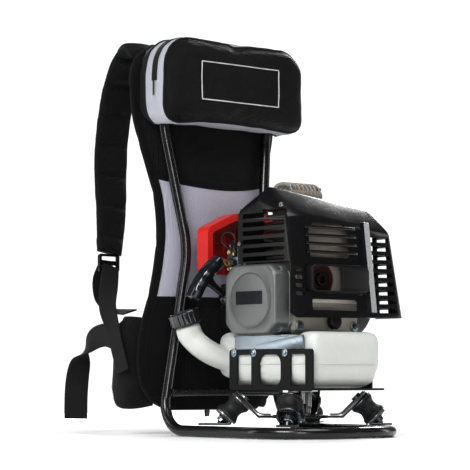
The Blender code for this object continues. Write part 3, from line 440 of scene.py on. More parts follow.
def softened(profile, radius, steps=3):
    """A profile of (radius, height) rows with its corners rounded."""
    points = [Vector(row) for row in profile]
    found = [points[0]]
    for before, corner, after in zip(points, points[1:], points[2:]):
        reach_in = min(radius, (before - corner).length * 0.45)
        reach_out = min(radius, (after - corner).length * 0.45)
        start = corner + (before - corner).normalized() * reach_in
        end = corner + (after - corner).normalized() * reach_out
        for step in range(steps + 1):
            t = step / steps
            found.append(start.lerp(corner, t).lerp(corner.lerp(end, t), t))
    return [*found, points[-1]]


def axis_frame(origin, direction):
    turn = Vector(direction).normalized().to_track_quat("Z", "Y").to_matrix().to_4x4()
    return Matrix.Translation(Vector(origin)) @ turn


def lathe(bm, profile, origin, direction, steps=48, rounding=0.0008, ripple=None):
    """A turned shape; a profile that doesn't start on the axis is a ring."""
    rows = softened(profile, rounding)
    place = axis_frame(origin, direction)
    is_ring = profile[0][0] > 0
    rings = []
    for i in range(steps):
        turn = 2 * math.pi * i / steps
        ring = []
        for radius, height in rows:
            wide = radius + (ripple(turn, radius, height) if ripple else 0.0)
            wide = max(wide, 0.00002)
            ring.append(place @ Vector((wide * math.cos(turn), wide * math.sin(turn), height)))
        rings.append(ring)
    made = [[bm.verts.new(point) for point in ring] for ring in rings]
    last = len(rows) if is_ring else len(rows) - 1
    for i in range(steps):
        here, there = made[i], made[(i + 1) % steps]
        for j in range(last):
            k = (j + 1) % len(rows)
            bm.faces.new((here[j], there[j], there[k], here[k]))
    bmesh.ops.remove_doubles(bm, verts=[v for ring in made for v in ring], dist=0.00003)


def block(bm, low, high):
    """A plain box, to be rounded by the piece's own bevel."""
    made = bmesh.ops.create_cube(bm, size=1.0)
    low, high = Vector(low), Vector(high)
    for vert in made["verts"]:
        vert.co = Vector(((low[i] + high[i]) / 2 + vert.co[i] * (high[i] - low[i])) for i in range(3))


def rounded_rect(low, high, radius, steps=5):
    """Corner points of a rectangle with round corners, anticlockwise."""
    points = []
    corners = ((high[0], high[1], 0), (low[0], high[1], 1), (low[0], low[1], 2), (high[0], low[1], 3))
    for x, y, quarter in corners:
        centre = (x - math.copysign(radius, x - (low[0] + high[0]) / 2),
                  y - math.copysign(radius, y - (low[1] + high[1]) / 2))
        for step in range(steps + 1):
            turn = (quarter + step / steps) * math.pi / 2
            points.append((centre[0] + radius * math.cos(turn), centre[1] + radius * math.sin(turn)))
    return points


def rounded_corners(corners, radius, steps=5):
    """A closed polygon with its corners rounded."""
    points = [Vector(corner) for corner in corners]
    rounded = softened([points[-1], *points, points[0]], radius, steps)
    return [tuple(point) for point in rounded[1:-1]]


def sheet_metal(bm, outline, thickness, place, holes=()):
    """A flat plate with holes, cut from a filled outline."""
    curve = bpy.data.curves.new("outline", "CURVE")
    curve.dimensions = "2D"
    curve.fill_mode = "BOTH"
    curve.extrude = thickness / 2
    for shape in (outline, *holes):
        spline = curve.splines.new("POLY")
        spline.points.add(len(shape) - 1)
        for point, (x, y) in zip(spline.points, shape):
            point.co = (x, y, 0, 1)
        spline.use_cyclic_u = True
    holder = bpy.data.objects.new("outline", curve)
    bpy.context.scene.collection.objects.link(holder)
    bpy.context.view_layer.update()
    mesh = bpy.data.meshes.new_from_object(holder.evaluated_get(bpy.context.evaluated_depsgraph_get()))
    mesh.transform(place)
    bm.from_mesh(mesh)
    bpy.data.objects.remove(holder)
    bpy.data.curves.remove(curve)
    bpy.data.meshes.remove(mesh)
    bmesh.ops.remove_doubles(bm, verts=bm.verts, dist=0.00001)


def facing(normal, up, centre):
    """A frame whose Z is normal and whose Y is up."""
    z = Vector(normal).normalized()
    x = Vector(up).cross(z).normalized()
    turn = Matrix((x, z.cross(x), z)).transposed().to_4x4()
    return Matrix.Translation(Vector(centre)) @ turn


def smooth_path(rows, per_span):
    """Catmull-Rom values between given rows of numbers."""
    rows = [Vector(row) for row in rows]
    padded = [rows[0] * 2 - rows[1], *rows, rows[-1] * 2 - rows[-2]]
    found = []
    for a, b, c, d in zip(padded, padded[1:], padded[2:], padded[3:]):
        for step in range(per_span):
            t = step / per_span
            linear = (c - a) * t
            square = (a * 2 - b * 5 + c * 4 - d) * t**2
            cube = (b * 3 - a - c * 3 + d) * t**3
            found.append((b * 2 + linear + square + cube) / 2)
    return [*found, rows[-1]]


def stitches(bm, path, pitch=0.0036, length=0.0024, radius=0.00035):
    """A row of short raised threads along a path."""
    points = [Vector(point) for point in path]
    travelled, due = 0.0, 0.0
    for here, there in zip(points, points[1:]):
        run = (there - here).length
        ahead = (there - here).normalized() if run > 1e-9 else X_AXIS
        while due <= travelled + run and run > 1e-9:
            start = here + ahead * (due - travelled)
            ends = (start, start + ahead * length / 2, start + ahead * length)
            sizes = (0.45, 1.0, 0.45)
            sweep(bm, ends, lambda s: circle(radius * sizes[round(s * 2)], 5))
            due += pitch
        travelled += run


def copy_of_node(name):
    """A welded copy of a CAD node's mesh, in a bmesh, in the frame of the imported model."""
    bm = bmesh.new()
    bm.from_mesh(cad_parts[name].data)
    bmesh.ops.remove_doubles(bm, verts=bm.verts, dist=0.00001)
    return bm


# ---------------------------------------------------------------- CAD nodes that stay


def dress_cad_nodes(plan):
    """Gives carried-over CAD nodes their material and softened edges."""
    for material, width, names in plan:
        for name in names.split():
            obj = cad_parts[name]
            obj.data.materials.clear()
            obj.data.materials.append(material)
            obj.data.shade_smooth()
            obj.data.set_sharp_from_angle(angle=math.radians(30))
            weld = obj.modifiers.new("Weld", "WELD")
            weld.merge_threshold = 0.00001
            if width:
                flat = obj.modifiers.new("Decimate", "DECIMATE")
                flat.decimate_type = "DISSOLVE"
                flat.angle_limit = math.radians(1.0)
                round_edges(obj, width)


# ---------------------------------------------------------------- frame


def arc_corner(before, corner, after, radius, steps):
    to_before, to_after = (before - corner).normalized(), (after - corner).normalized()
    half = to_before.angle(to_after) / 2
    reach = min(radius / math.tan(half), (before - corner).length * 0.49,
                (after - corner).length * 0.49)
    radius = reach * math.tan(half)
    centre = corner + (to_before + to_after).normalized() * (radius / math.sin(half))
    start, end = corner + to_before * reach - centre, corner + to_after * reach - centre
    return [centre + start.normalized().slerp(end.normalized(), i / steps) * radius
            for i in range(steps + 1)]


def frame_route():
    right = [((0.107, -0.261, 0.007), 0.080, 24), ((0.107, 0.001, 0.007), 0.045, 16),
             ((0.066, -0.004, 0.248), 0.160, 12), ((0.092, 0.017, 0.415), 0.150, 10),
             ((0.095, 0.012, 0.500), 0.045, 16)]
    left = [((-x, y, z), bend, steps) for (x, y, z), bend, steps in reversed(right)]
    corners = [(Vector(place), bend, steps) for place, bend, steps in (*right, *left)]
    route = []
    for i, (corner, bend, steps) in enumerate(corners):
        before, after = corners[i - 1][0], corners[(i + 1) % len(corners)][0]
        route += arc_corner(before, corner, after, bend, steps)
    return route


def make_frame():
    bm = bmesh.new()
    sweep(bm, frame_route(), circle(0.007, 28), closed=True)
    y, z, half = -0.0045, 0.056, 0.098
    sweep(bm, [(-half, y, z), (0, y, z), (half, y, z)], circle(0.005, 20))
    for side in (-1, 1):
        bead = [(0.0050, 0.0022), (0.0064, 0.0012), (0.0064, 0.0), (0.0050, -0.0004)]
        lathe(bm, bead, (side * 0.0945, y, z), (-side, 0, 0), 24, 0.0004)
    keep("frame_bent_tube", bm, PAINT, "carrier", ("frame_tube",), angle=50)


# ---------------------------------------------------------------- soft goods


PANEL_ROWS = (
    (0.034, 0.082, 0.012, 0.026),
    (0.046, 0.103, 0.010, 0.030),
    (0.068, 0.119, 0.008, 0.030),
    (0.105, 0.124, 0.008, 0.030),
    (0.142, 0.119, 0.008, 0.030),
    (0.189, 0.105, 0.008, 0.029),
    (0.230, 0.097, 0.008, 0.028),
    (0.274, 0.093, 0.008, 0.028),
    (0.320, 0.096, 0.009, 0.031),
    (0.362, 0.107, 0.013, 0.035),
    (0.401, 0.119, 0.020, 0.038),
    (0.435, 0.126, 0.023, 0.041),
    (0.480, 0.129, 0.025, 0.042),
    (0.508, 0.120, 0.026, 0.041),
    (0.525, 0.098, 0.027, 0.037),
)
PANEL_SMOOTH = smooth_path(PANEL_ROWS, 9)
PANEL_LOW, PANEL_HIGH = PANEL_ROWS[0][0], PANEL_ROWS[-1][0]


def seam_dip(distance, width=0.0045):
    """0 on a seam, 1 away from it."""
    return 1 - math.exp(-((distance / width) ** 2))


def panel_y(x, z, half_width, middle_y, edge_y, side):
    """The panel's surface: side is -1 for the engine's side and 1 for the wearer's."""
    base = middle_y + (edge_y - middle_y) * (x / half_width) ** 2
    near_edge = half_width - abs(x)
    top_seam = TOP_SEAM + SAG * x * x
    if side < 0:
        puff = 0.0016 * min(seam_dip(z - top_seam), seam_dip(z - top_seam - 0.013),
                            seam_dip(z - LOW_SEAM), seam_dip(z - LOW_SEAM + 0.011),
                            seam_dip(near_edge - EDGING))
        puff += 0.0005 * noise.noise(Vector((x * 24, z * 13, 3.1)))
        return base - 0.0052 - puff
    spine = seam_dip(abs(x) - 0.020, 0.006)
    rungs = min(seam_dip(z - level, 0.006) for level in (0.115, 0.185, 0.255, 0.325, 0.395, 0.465))
    puff = 0.0046 * min(spine, rungs, seam_dip(near_edge - 0.016, 0.007))
    puff += 0.0006 * noise.noise(Vector((x * 20, z * 16, 9.7)))
    return base + 0.0058 + puff


PANEL_SIDES = 96
PANEL_ROUNDING = 0.0055
PANEL_END_SHARES = (0.25, 0.55, 0.85)


def panel_ring(row, share):
    """One level of the panel: its points, each with its distance from the edge and its side."""
    z, half_width, middle_y, edge_y = row
    inset = PANEL_ROUNDING * (1 - math.sqrt(max(0.0, 1 - (1 - share) ** 2)))
    ring = []
    for i in range(PANEL_SIDES):
        turn = 2 * math.pi * i / PANEL_SIDES
        c, s = math.cos(turn), math.sin(turn)
        x = math.copysign(abs(c) ** 0.42, c) * (half_width - inset)
        depth = math.copysign(abs(s) ** 0.60, s) * (0.25 + 0.75 * share)
        base = middle_y + (edge_y - middle_y) * (x / half_width) ** 2 + 0.0003
        skin_y = panel_y(x, z, half_width, middle_y, edge_y, depth)
        y = base + (skin_y - base) * abs(depth)
        ends_near = min(z - PANEL_LOW, PANEL_HIGH - z)
        near = min(half_width - abs(x), max(0.0, ends_near))
        ring.append((Vector((x, y, z)), near, 1.0 if depth > 0 else 0.0))
    return ring


def panel_rings():
    """All levels, the first and last few drawn in towards round ends."""
    rows = [(PANEL_SMOOTH[0], share) for share in PANEL_END_SHARES]
    rows += [(row, 1.0) for row in PANEL_SMOOTH]
    rows += [(PANEL_SMOOTH[-1], share) for share in reversed(PANEL_END_SHARES)]
    rings = [panel_ring(row, share) for row, share in rows]
    step = PANEL_ROUNDING / 4
    for index in range(len(PANEL_END_SHARES)):
        reach = step * (len(PANEL_END_SHARES) - index) * 0.4
        for point, _, _ in rings[index]:
            point.z -= reach
        for point, _, _ in rings[-1 - index]:
            point.z += reach
    return rings


def make_back_panel():
    """One stitched shell around plate and foam, with a bound edge."""
    bm = bmesh.new()
    edge_layer = bm.verts.layers.float.new("edge")
    rear_layer = bm.verts.layers.float.new("rear")
    rings = panel_rings()
    made = skin(bm, [[point for point, _, _ in ring] for ring in rings])
    for verts, ring in zip(made, rings):
        for vert, (_, near, rear) in zip(verts, ring):
            vert[edge_layer] = near
            vert[rear_layer] = rear
    panel = keep("back_panel_cushion", bm, panel_material(), "carrier",
                 ("back_pad", "back_plate"), angle=80)
    make_panel_stitching()


def panel_values(z):
    """Half width, middle line and edge line of the panel at a height."""
    for low, high in zip(PANEL_SMOOTH, PANEL_SMOOTH[1:]):
        if low[0] <= z <= high[0]:
            return low.lerp(high, (z - low[0]) / (high[0] - low[0]))
    return PANEL_SMOOTH[0] if z < PANEL_LOW else PANEL_SMOOTH[-1]


def on_panel(x, z, side=-1, lift=0.0003):
    _, half_width, middle_y, edge_y = panel_values(z)
    y = panel_y(x, z, half_width, middle_y, edge_y, side)
    return Vector((x, y + math.copysign(lift, side), z))


def make_panel_stitching():
    dark = bmesh.new()
    heights = [0.050 + 0.006 * i for i in range(78)]
    inset = 0.0068
    for side in (-1, 1):
        stitches(dark, [on_panel(side * (panel_values(z)[1] - inset), z) for z in heights])
    for offset in (0.0026, 0.0105):
        row = [x / 100 * 0.94 for x in range(-9, 10)]
        stitches(dark, [on_panel(x, TOP_SEAM + SAG * x * x + offset) for x in row])
        stitches(dark, [on_panel(x, LOW_SEAM - offset + 0.0005) for x in row])
    keep("panel_stitching", dark, THREAD, "carrier")


SHOULDER_ROUTE = (
    (-0.094, 0.052, 0.508, 0.052, 1, 0, 0),
    (-0.094, 0.068, 0.524, 0.052, 1, 0, 0),
    (-0.094, 0.092, 0.508, 0.053, 1, 0, 0),
    (-0.094, 0.114, 0.468, 0.053, 1, 0, 0),
    (-0.094, 0.128, 0.414, 0.052, 1, 0, 0),
    (-0.095, 0.131, 0.365, 0.052, 1, 0, 0),
    (-0.099, 0.124, 0.300, 0.046, 1, 0, 0),
    (-0.107, 0.117, 0.246, 0.038, 1, 0, 0),
)
WEBBING_ROUTE = (
    (-0.108, 0.120, 0.236, 0.025, 1, 0, 0),
    (-0.110, 0.133, 0.212, 0.025, 1, 0, 0),
    (-0.111, 0.129, 0.186, 0.025, 1, 0, 0),
    (-0.112, 0.113, 0.171, 0.025, 1, 0.1, 0),
    (-0.113, 0.090, 0.166, 0.025, 1, 0.1, 0.2),
    (-0.113, 0.062, 0.164, 0.025, 1, 0.1, 0.3),
)
TAIL_ROUTE = (
    (-0.111, 0.107, 0.228, 0.025, 1, 0, 0),
    (-0.120, 0.100, 0.200, 0.025, 0.9, -0.5, 0.1),
    (-0.131, 0.088, 0.172, 0.025, 0.5, -0.9, 0.1),
    (-0.1345, 0.072, 0.144, 0.025, 0.1, -1, 0),
    (-0.1345, 0.060, 0.112, 0.025, 0.05, -1, 0),
    (-0.1335, 0.050, 0.084, 0.025, 0.05, -1, 0),
)
HIP_PAD_ROUTE = (
    (-0.088, 0.045, 0.096, 0.112, 0, 0, 1),
    (-0.108, 0.047, 0.096, 0.118, 0, 0, 1),
    (-0.120, 0.056, 0.096, 0.120, 0, 0, 1),
    (-0.121, 0.070, 0.097, 0.116, 0, 0, 1),
    (-0.113, 0.090, 0.104, 0.092, 0, 0, 1),
)
HIP_WEBBING_ROUTE = (
    (-0.111, 0.100, 0.130, 0.032, 0, 0, 1),
    (-0.110, 0.122, 0.134, 0.032, 0, -0.1, 1),
    (-0.112, 0.146, 0.128, 0.032, 0.1, 0.35, 0.94),
    (-0.115, 0.164, 0.110, 0.032, 0.6, 0.0, 0.75),
    (-0.117, 0.173, 0.086, 0.032, 0.9, -0.35, 0.25),
    (-0.118, 0.177, 0.056, 0.032, 0.8, -0.6, 0),
    (-0.118, 0.178, 0.019, 0.032, 0.77, -0.64, 0),
)


def strip_frames(route, side, per_span):
    """Along a strap: distance, place, width, the direction across it and its normal."""
    rows = smooth_path(route, per_span)
    if side > 0:
        rows = [Vector((-r[0], r[1], r[2], r[3], -r[4], r[5], r[6])) for r in rows]
    places = [Vector(row[:3]) for row in rows]
    found, distance = [], 0.0
    for i, row in enumerate(rows):
        if i:
            distance += (places[i] - places[i - 1]).length
        ahead = (places[min(i + 1, len(rows) - 1)] - places[max(i - 1, 0)]).normalized()
        across = Vector(row[4:7])
        across = (across - ahead * across.dot(ahead)).normalized()
        found.append((distance, places[i], row[3], across, ahead.cross(across)))
    return found


def make_strip(name, route, side, thickness, material, replaces, per_span=14, sides=32,
               flatness=0.45, pillows=0.0, pad=False):
    """A strap or pad along its route, with pillows between its cross seams if asked."""
    bm = bmesh.new()
    layers = {key: bm.verts.layers.float.new(key) for key in ("along", "across")}
    frames = strip_frames(route, side, per_span)
    total = frames[-1][0]
    rings, facts = [], []
    for distance, place, width, across, normal in frames:
        quilt = 1.0
        if pillows:
            seam = (distance + pillows / 2) % pillows - pillows / 2
            quilt = 0.50 + 0.50 * seam_dip(seam, 0.0046) * (0.9 + 0.1 * seam_dip(seam, 0.016))
        end = min(distance, total - distance)
        taper = 0.45 + 0.55 * min(1.0, end / 0.010) ** 0.5 if pad else 1.0
        ring, fact = [], []
        for a, b in pill(width / 2, thickness / 2, sides, flatness):
            crown = 1.0 - 0.28 * (2 * a / width) ** 2 if pad else 1.0
            lump = 0.0
            if pad:
                lump = 0.0018 * noise.noise(Vector((distance * 48, a * 55, b * 90 + side)))
            depth = b * quilt * taper * crown + math.copysign(lump, b)
            a *= 0.955 + 0.045 * (quilt if pillows else 1.0)
            ring.append(place + across * a + normal * depth)
            fact.append((distance, a))
        rings.append(ring)
        facts.append(fact)
    made = skin(bm, rings)
    for verts, fact in zip(made, facts):
        for vert, (along, a) in zip(verts, fact):
            vert[layers["along"]] = along
            vert[layers["across"]] = a
    obj = keep(name, bm, material, "carrier", replaces, angle=70)
    return frames


def bind_edges(name, frames, thickness, lift=0.0):
    """Binding tape folded round both long edges of a pad, with a row of stitches on each."""
    tape, thread = bmesh.new(), bmesh.new()
    for way in (-1, 1):
        path = [place + across * (width / 2 - 0.0010) * way
                for _, place, width, across, _ in frames]
        sweep(tape, path, circle(thickness, 12, 1.25), up=frames[0][4])
        for face in (-1, 1):
            seam = [place + across * (width / 2 - 0.0052) * way + normal * lift * face
                    for _, place, width, across, normal in frames]
            stitches(thread, seam, 0.0042, 0.0026)
    keep(f"{name}_binding", tape, BINDING, "carrier", angle=60)
    keep(f"{name}_stitching", thread, THREAD, "carrier")


def make_box_stitch(name, frames, start, length, lift):
    """A stitched square with a cross, where a band is sewn down."""
    bm = bmesh.new()
    spots = [frame_row for frame_row in frames if start <= frame_row[0] <= start + length]
    if len(spots) < 2:
        return
    first, last = spots[0], spots[-1]

    def corner(row, way):
        return row[1] + row[3] * way * (row[2] / 2 - 0.003) + row[4] * lift

    a, b = corner(first, -1), corner(first, 1)
    c, d = corner(last, 1), corner(last, -1)
    for path in ((a, b), (b, c), (c, d), (d, a), (a, c), (b, d)):
        stitches(bm, path, 0.0030, 0.0021)
    keep(name, bm, THREAD, "carrier")


def make_straps():
    for label, side in (("left", -1), ("right", 1)):
        shoulder = make_strip(f"shoulder_cushion_{label}", SHOULDER_ROUTE, side, 0.0165, QUILT,
                              (f"shoulder_strap_{label}",), 26, pillows=0.043,
                              pad=True)
        bind_edges(f"shoulder_{label}", shoulder, 0.0020, 0.0052)
        webbing = make_strip(f"strap_band_{label}", WEBBING_ROUTE, side, 0.0020, WEBBING,
                             (f"strap_webbing_{label}",), 12, 20, 0.25)
        make_box_stitch(f"strap_box_stitch_{label}", webbing, 0.010, 0.020, 0.0012)
        make_strip(f"tail_band_{label}", TAIL_ROUTE, side, 0.0018, WEBBING,
                   (f"strap_tail_{label}",), 10, 20, 0.25)
        hip = make_strip(f"hip_cushion_{label}", HIP_PAD_ROUTE, side, 0.0135, PAD_CLOTH,
                         (f"hip_pad_{label}",), 12, 48, 0.38, pad=True)
        bind_edges(f"hip_{label}", hip, 0.0024, 0.0050)
        belt = make_strip(f"hip_band_{label}", HIP_WEBBING_ROUTE, side, 0.0021, WEBBING,
                          (f"hip_webbing_{label}",), 12, 20, 0.25)
        make_box_stitch(f"belt_box_stitch_{label}", belt, 0.001, 0.020, 0.0013)


def simulate_pouch(obj):
    """Blows the pouch up a little under cloth simulation and keeps the result."""
    start = [vert.co.copy() for vert in obj.data.vertices]
    cloth = obj.modifiers.new("Cloth", "CLOTH")
    cloth.settings.use_pressure = True
    cloth.settings.uniform_pressure_force = 4.0
    cloth.settings.effector_weights.gravity = 0.0
    cloth.settings.quality = 5
    cloth.collision_settings.use_collision = False
    scene = bpy.context.scene
    for step in range(1, 21):
        scene.frame_set(step)
    swollen = obj.evaluated_get(bpy.context.evaluated_depsgraph_get())
    final = [vert.co.copy() for vert in swollen.data.vertices]
    obj.modifiers.remove(cloth)
    scene.frame_set(1)
    cap = 0.0040
    for vert, before, after in zip(obj.data.vertices, start, final):
        move = after - before
        if move.length > cap:
            move *= cap / move.length
        vert.co = before + move


def crease(obj, depth, scale):
    """Pushes the surface in and out a little, as slack cloth lies."""
    for vert in obj.data.vertices:
        spot = Vector((vert.co.x * scale, vert.co.y * scale, vert.co.z * scale * 2.1))
        folds = noise.noise(spot) + 0.5 * noise.noise(spot * 2.3)
        vert.co += vert.normal * depth * folds


def remeshed(obj, voxel, passes):
    """Evaluates a voxel remesh and a smoothing into the object's own mesh."""
    remesh = obj.modifiers.new("Remesh", "REMESH")
    remesh.mode = "VOXEL"
    remesh.voxel_size = voxel
    soften = obj.modifiers.new("Smooth", "SMOOTH")
    soften.iterations = passes
    soften.factor = 0.5
    bpy.context.view_layer.update()
    done = bpy.data.meshes.new_from_object(obj.evaluated_get(bpy.context.evaluated_depsgraph_get()))
    obj.modifiers.clear()
    materials = list(obj.data.materials)
    obj.data = done
    done.materials.clear()
    for material in materials:
        done.materials.append(material)
    done.shade_smooth()


def make_pouch():
    """The pouch starts a little smaller than its space, which the simulation then fills."""
    half_width, half_height, crown_width = 0.13, 0.063, 0.12
    front, swelling = -0.02, 0.0030
    bm = copy_of_node("head_pouch")
    centre = sum((vert.co for vert in bm.verts), Vector()) / len(bm.verts)
    for vert in bm.verts:
        vert.co -= MACHINE_SHIFT
        rise = max(0.0, (vert.co.z - centre.z) / half_height)
        vert.co.x *= 0.978 - 0.10 * rise**3
        vert.co.z = centre.z + (vert.co.z - centre.z) * 0.965
        vert.co.z -= 0.010 * rise * (vert.co.x / half_width) ** 4
        vert.co.z += 0.0025 * rise * (1 - (vert.co.x / crown_width) ** 2)
        if vert.co.y < front:
            vert.co.y += swelling
    pouch = keep("pouch_cushion", bm, pouch_material(), "carrier", ("head_pouch",))
    remeshed(pouch, 0.005, 3)
    simulate_pouch(pouch)
    smooth = pouch.modifiers.new("Subdivision", "SUBSURF")
    smooth.levels = smooth.render_levels = 1
    crease(pouch, 0.0016, 19.0)
    make_pouch_details(pouch)


def hit(surface, start, end):
    """Where the line from start to end first meets a piece, in the machine's frame."""
    found, spot, normal, _ = surface.ray_cast(start, (end - start).normalized())
    return (spot, normal) if found else (end, (start - end).normalized())


def make_pouch_details(pouch):
    bpy.context.view_layer.update()
    surface = pouch.evaluated_get(bpy.context.evaluated_depsgraph_get())
    middle_z = 0.473
    piping = bmesh.new()
    for y, thick in ((FRONT_SEAM, 0.0015), (REAR_SEAM, 0.0019)):
        path = []
        for i in range(120):
            turn = 2 * math.pi * i / 120
            away = Vector((math.cos(turn) * 0.22, 0, math.sin(turn) * 0.13))
            spot, _ = hit(surface, Vector((0, y, middle_z)) + away, Vector((0, y, middle_z)))
            path.append(spot)
        sweep(piping, path, circle(thick, 10), closed=True)
    keep("pouch_piping", piping, BINDING, "carrier", angle=60)
    make_zip(surface, middle_z)
    make_patch(surface)


def make_zip(surface, middle_z):
    """A zip over the top of the gusset, with teeth between its tapes and a pull at one end."""
    path = []
    for i in range(90):
        turn = math.radians(-2 + 184 * i / 89)
        away = Vector((math.cos(turn) * 0.22, 0, math.sin(turn) * 0.13))
        core = Vector((0, -0.0055, middle_z))
        spot, normal = hit(surface, core + away, core)
        path.append(spot + normal * 0.0004)
    tape = bmesh.new()
    sweep(tape, path, pill(0.0052, 0.0007, 12, 0.4), up=(0, 1, 0))
    keep("pouch_zip_tape", tape, BINDING, "carrier", angle=60)
    teeth = bmesh.new()
    for index in range(0, len(path) - 1):
        for share in (0.0, 0.34, 0.67):
            spot = path[index].lerp(path[index + 1], share)
            ahead = (path[index + 1] - path[index]).normalized()
            sweep(teeth, (spot - Y_AXIS * 0.0014, spot + Y_AXIS * 0.0014), circle(0.0008, 6), up=ahead)
    pull = path[-1] + Vector((-0.0012, 0, 0))
    sweep(teeth, (pull, pull - Z_AXIS * 0.010, pull - Z_AXIS * 0.020), pill(0.0024, 0.0008, 12))
    keep("pouch_zip_teeth", teeth, PLASTIC, "carrier")


def make_patch(surface):
    """A plain pale rectangle of thin tape sewn on the pouch's front."""
    low, high = Vector((-0.070, 0.447)), Vector((0.066, 0.498))
    corners = [(low.x, low.y), (high.x, low.y), (high.x, high.y), (low.x, high.y)]
    path = []
    for (x0, z0), (x1, z1) in zip(corners, corners[1:] + corners[:1]):
        for step in range(24):
            share = step / 24
            x, z = x0 + (x1 - x0) * share, z0 + (z1 - z0) * share
            spot, normal = hit(surface, Vector((x, -0.20, z)), Vector((x, 0.0, z)))
            path.append(spot + normal * 0.0003)
    tape = bmesh.new()
    sweep(tape, path, circle(0.0009, 8), closed=True)
    keep("pouch_outline", tape, PATCH, "carrier", angle=60)


# ---------------------------------------------------------------- swivel


def away_from_pivot(place):
    return Vector((place.x - PIVOT.x, place.y - PIVOT.y, 0)).normalized()


def buffer_places():
    for end, sy in (("front", -1), ("rear", 1)):
        for label, sx in (("left", -1), ("right", 1)):
            outward = Vector((sx * 0.068, sy * 0.055, 0.0)).normalized()
            centre = PIVOT + Vector((sx * 0.068, sy * 0.055, 0.036))
            axis = (Z_AXIS - outward).normalized()
            yield f"{end}_{label}", centre, axis


def make_brackets():
    """Under each buffer, a seat and a foot bent from one strap, and a web between them."""
    reaches = {"front_left": 0.030, "front_right": 0.030, "rear_left": 0.044, "rear_right": 0.044}
    for name, centre, axis in buffer_places():
        bm = bmesh.new()
        outward = away_from_pivot(centre)
        across = outward.cross(Z_AXIS)
        downhill = axis.cross(across).normalized()
        seat = centre - axis * 0.0158
        if downhill.z > 0:
            downhill = -downhill
        heel = seat + downhill * 0.0145
        heel.z = 0.0162
        path = [seat - downhill * 0.0135, seat, heel, heel + outward * 0.010,
                heel + outward * reaches[name]]
        rows = softened([tuple(spot) for spot in path], 0.005, 4)
        sweep(bm, rows, pill(0.0125, 0.0014, 16, 0.25), up=across)
        web = [heel + outward * 0.003, heel + outward * 0.020, seat - downhill * 0.008]
        corners = [spot + across * side * 0.0012 for side in (-1, 1) for spot in web]
        bmesh.ops.convex_hull(bm, input=[bm.verts.new(spot) for spot in corners])
        keep(f"bracket_strap_{name}", bm, PAINT, "carrier", (f"base_bracket_{name}",))


def make_spider_lips():
    """Upturned lips along both edges of the spider's four arms."""
    lips = bmesh.new()
    height, half_width = 0.0190, 0.0126
    for _, centre, axis in buffer_places():
        outward = away_from_pivot(centre)
        across = outward.cross(Z_AXIS)
        uphill = (outward + Z_AXIS).normalized()
        for side in (-1, 1):
            edge = centre + axis * height + across * side * half_width
            foot = PIVOT + outward * 0.0385 + across * side * half_width + Z_AXIS * 0.0285
            path = softened([tuple(edge + uphill * 0.0125), tuple(edge - uphill * 0.0295), tuple(foot)],
                            0.006, 4)
            sweep(lips, path, pill(0.0009, 0.0017, 12), up=across.cross(uphill))
    keep("spider_lips", lips, PAINT, "carrier")


def make_swivel():
    half = 0.014
    make_brackets()
    make_spider_lips()
    for name, centre, axis in buffer_places():
        rubber = bmesh.new()
        waist = [(0.0120 + 0.0034 * (abs(h) / 0.0085) ** 2.2, h) for h in
                 (0.0085 * step / 6 for step in range(6, -7, -1))]
        profile = [(0.0046, half - 0.0014), (0.0158, half - 0.0014), (0.0158, 0.0100), *waist,
                   (0.0158, -0.0100), (0.0158, 0.0014 - half), (0.0046, 0.0014 - half)]
        lathe(rubber, profile, centre, axis, 40, 0.0010)
        keep(f"buffer_rubber_{name}", rubber, RUBBER, "carrier", (f"buffer_{name}",))
        plates = bmesh.new()
        for top, foot in ((half, half - 0.0013), (0.0013 - half, -half)):
            lathe(plates, [(0.0046, top), (0.0160, top), (0.0160, foot), (0.0046, foot)], centre,
                  axis, 40, 0.0003)
        keep(f"buffer_washers_{name}", plates, ZINC, "carrier")
        washer = bmesh.new()
        for height in (half + 0.0041, -half - 0.0048):
            lathe(washer, [(0.0046, height + 0.0007), (0.0098, height + 0.0007), (0.0098, height),
                           (0.0046, height)], centre, axis, 32, 0.0002)
        keep(f"bolt_washers_{name}", washer, ZINC, "carrier")
    pivot = bmesh.new()
    lathe(pivot, [(0.0, 0.0596), (0.016, 0.0596), (0.016, 0.0566), (0.006, 0.0566), (0.006, 0.019),
                  (0.0, 0.019)], PIVOT, Z_AXIS, 40)
    keep("pivot_turned", pivot, STEEL, "engine", ("pivot_shaft",))
    pin = bmesh.new()
    lathe(pin, [(0.0, 0.056), (0.0042, 0.056), (0.0042, 0.038), (0.003, 0.036), (0.003, 0.029),
                (0.0, 0.028)], (0.018, -0.151, 0), Z_AXIS, 28, 0.0005,
          lambda turn, r, h: 0.00025 * math.cos(14 * turn) if 0.0385 < h < 0.0555 and r > 0.004 else 0)
    keep("lock_pin_knurled", pin, STEEL, "lock_pin", ("lock_pin",))


# ---------------------------------------------------------------- tank and cradle


def make_tank():
    bm = copy_of_node("fuel_tank")
    tank = keep("tank_moulding", bm, TANK, "engine", ("fuel_tank",), shifted=False)
    remeshed(tank, 0.0018, 22)
    seam = bmesh.new()
    outline = rounded_rect((-0.0627, -0.2477), (0.0587, -0.0718), 0.020, 8)
    sweep(seam, [(x, y, 0.0935) for x, y in outline], pill(0.0006, 0.0010, 8), closed=True, up=Z_AXIS)
    keep("tank_parting_line", seam, TANK, "engine", angle=60)
    place, axis = Vector((-0.104, -0.045, 0.154)), Vector((-0.28, 0.12, 0.95))
    cap = bmesh.new()

    def ribs(turn, radius, height):
        if radius < 0.0188 or height > 0.0070 or height < -0.0082:
            return 0.0
        return -0.0011 * max(0.0, math.cos(18 * turn)) ** 4

    lathe(cap, [(0.0, 0.0078), (0.0120, 0.0080), (0.0135, 0.0090), (0.0188, 0.0088),
                (0.0205, 0.0068), (0.0205, -0.0080), (0.0196, -0.0098), (0.0, -0.0098)],
          place, axis, 144, 0.0007, ribs)
    keep("fuel_cap_ribbed", cap, GLOSSY, "fuel_cap", ("fuel_cap",))


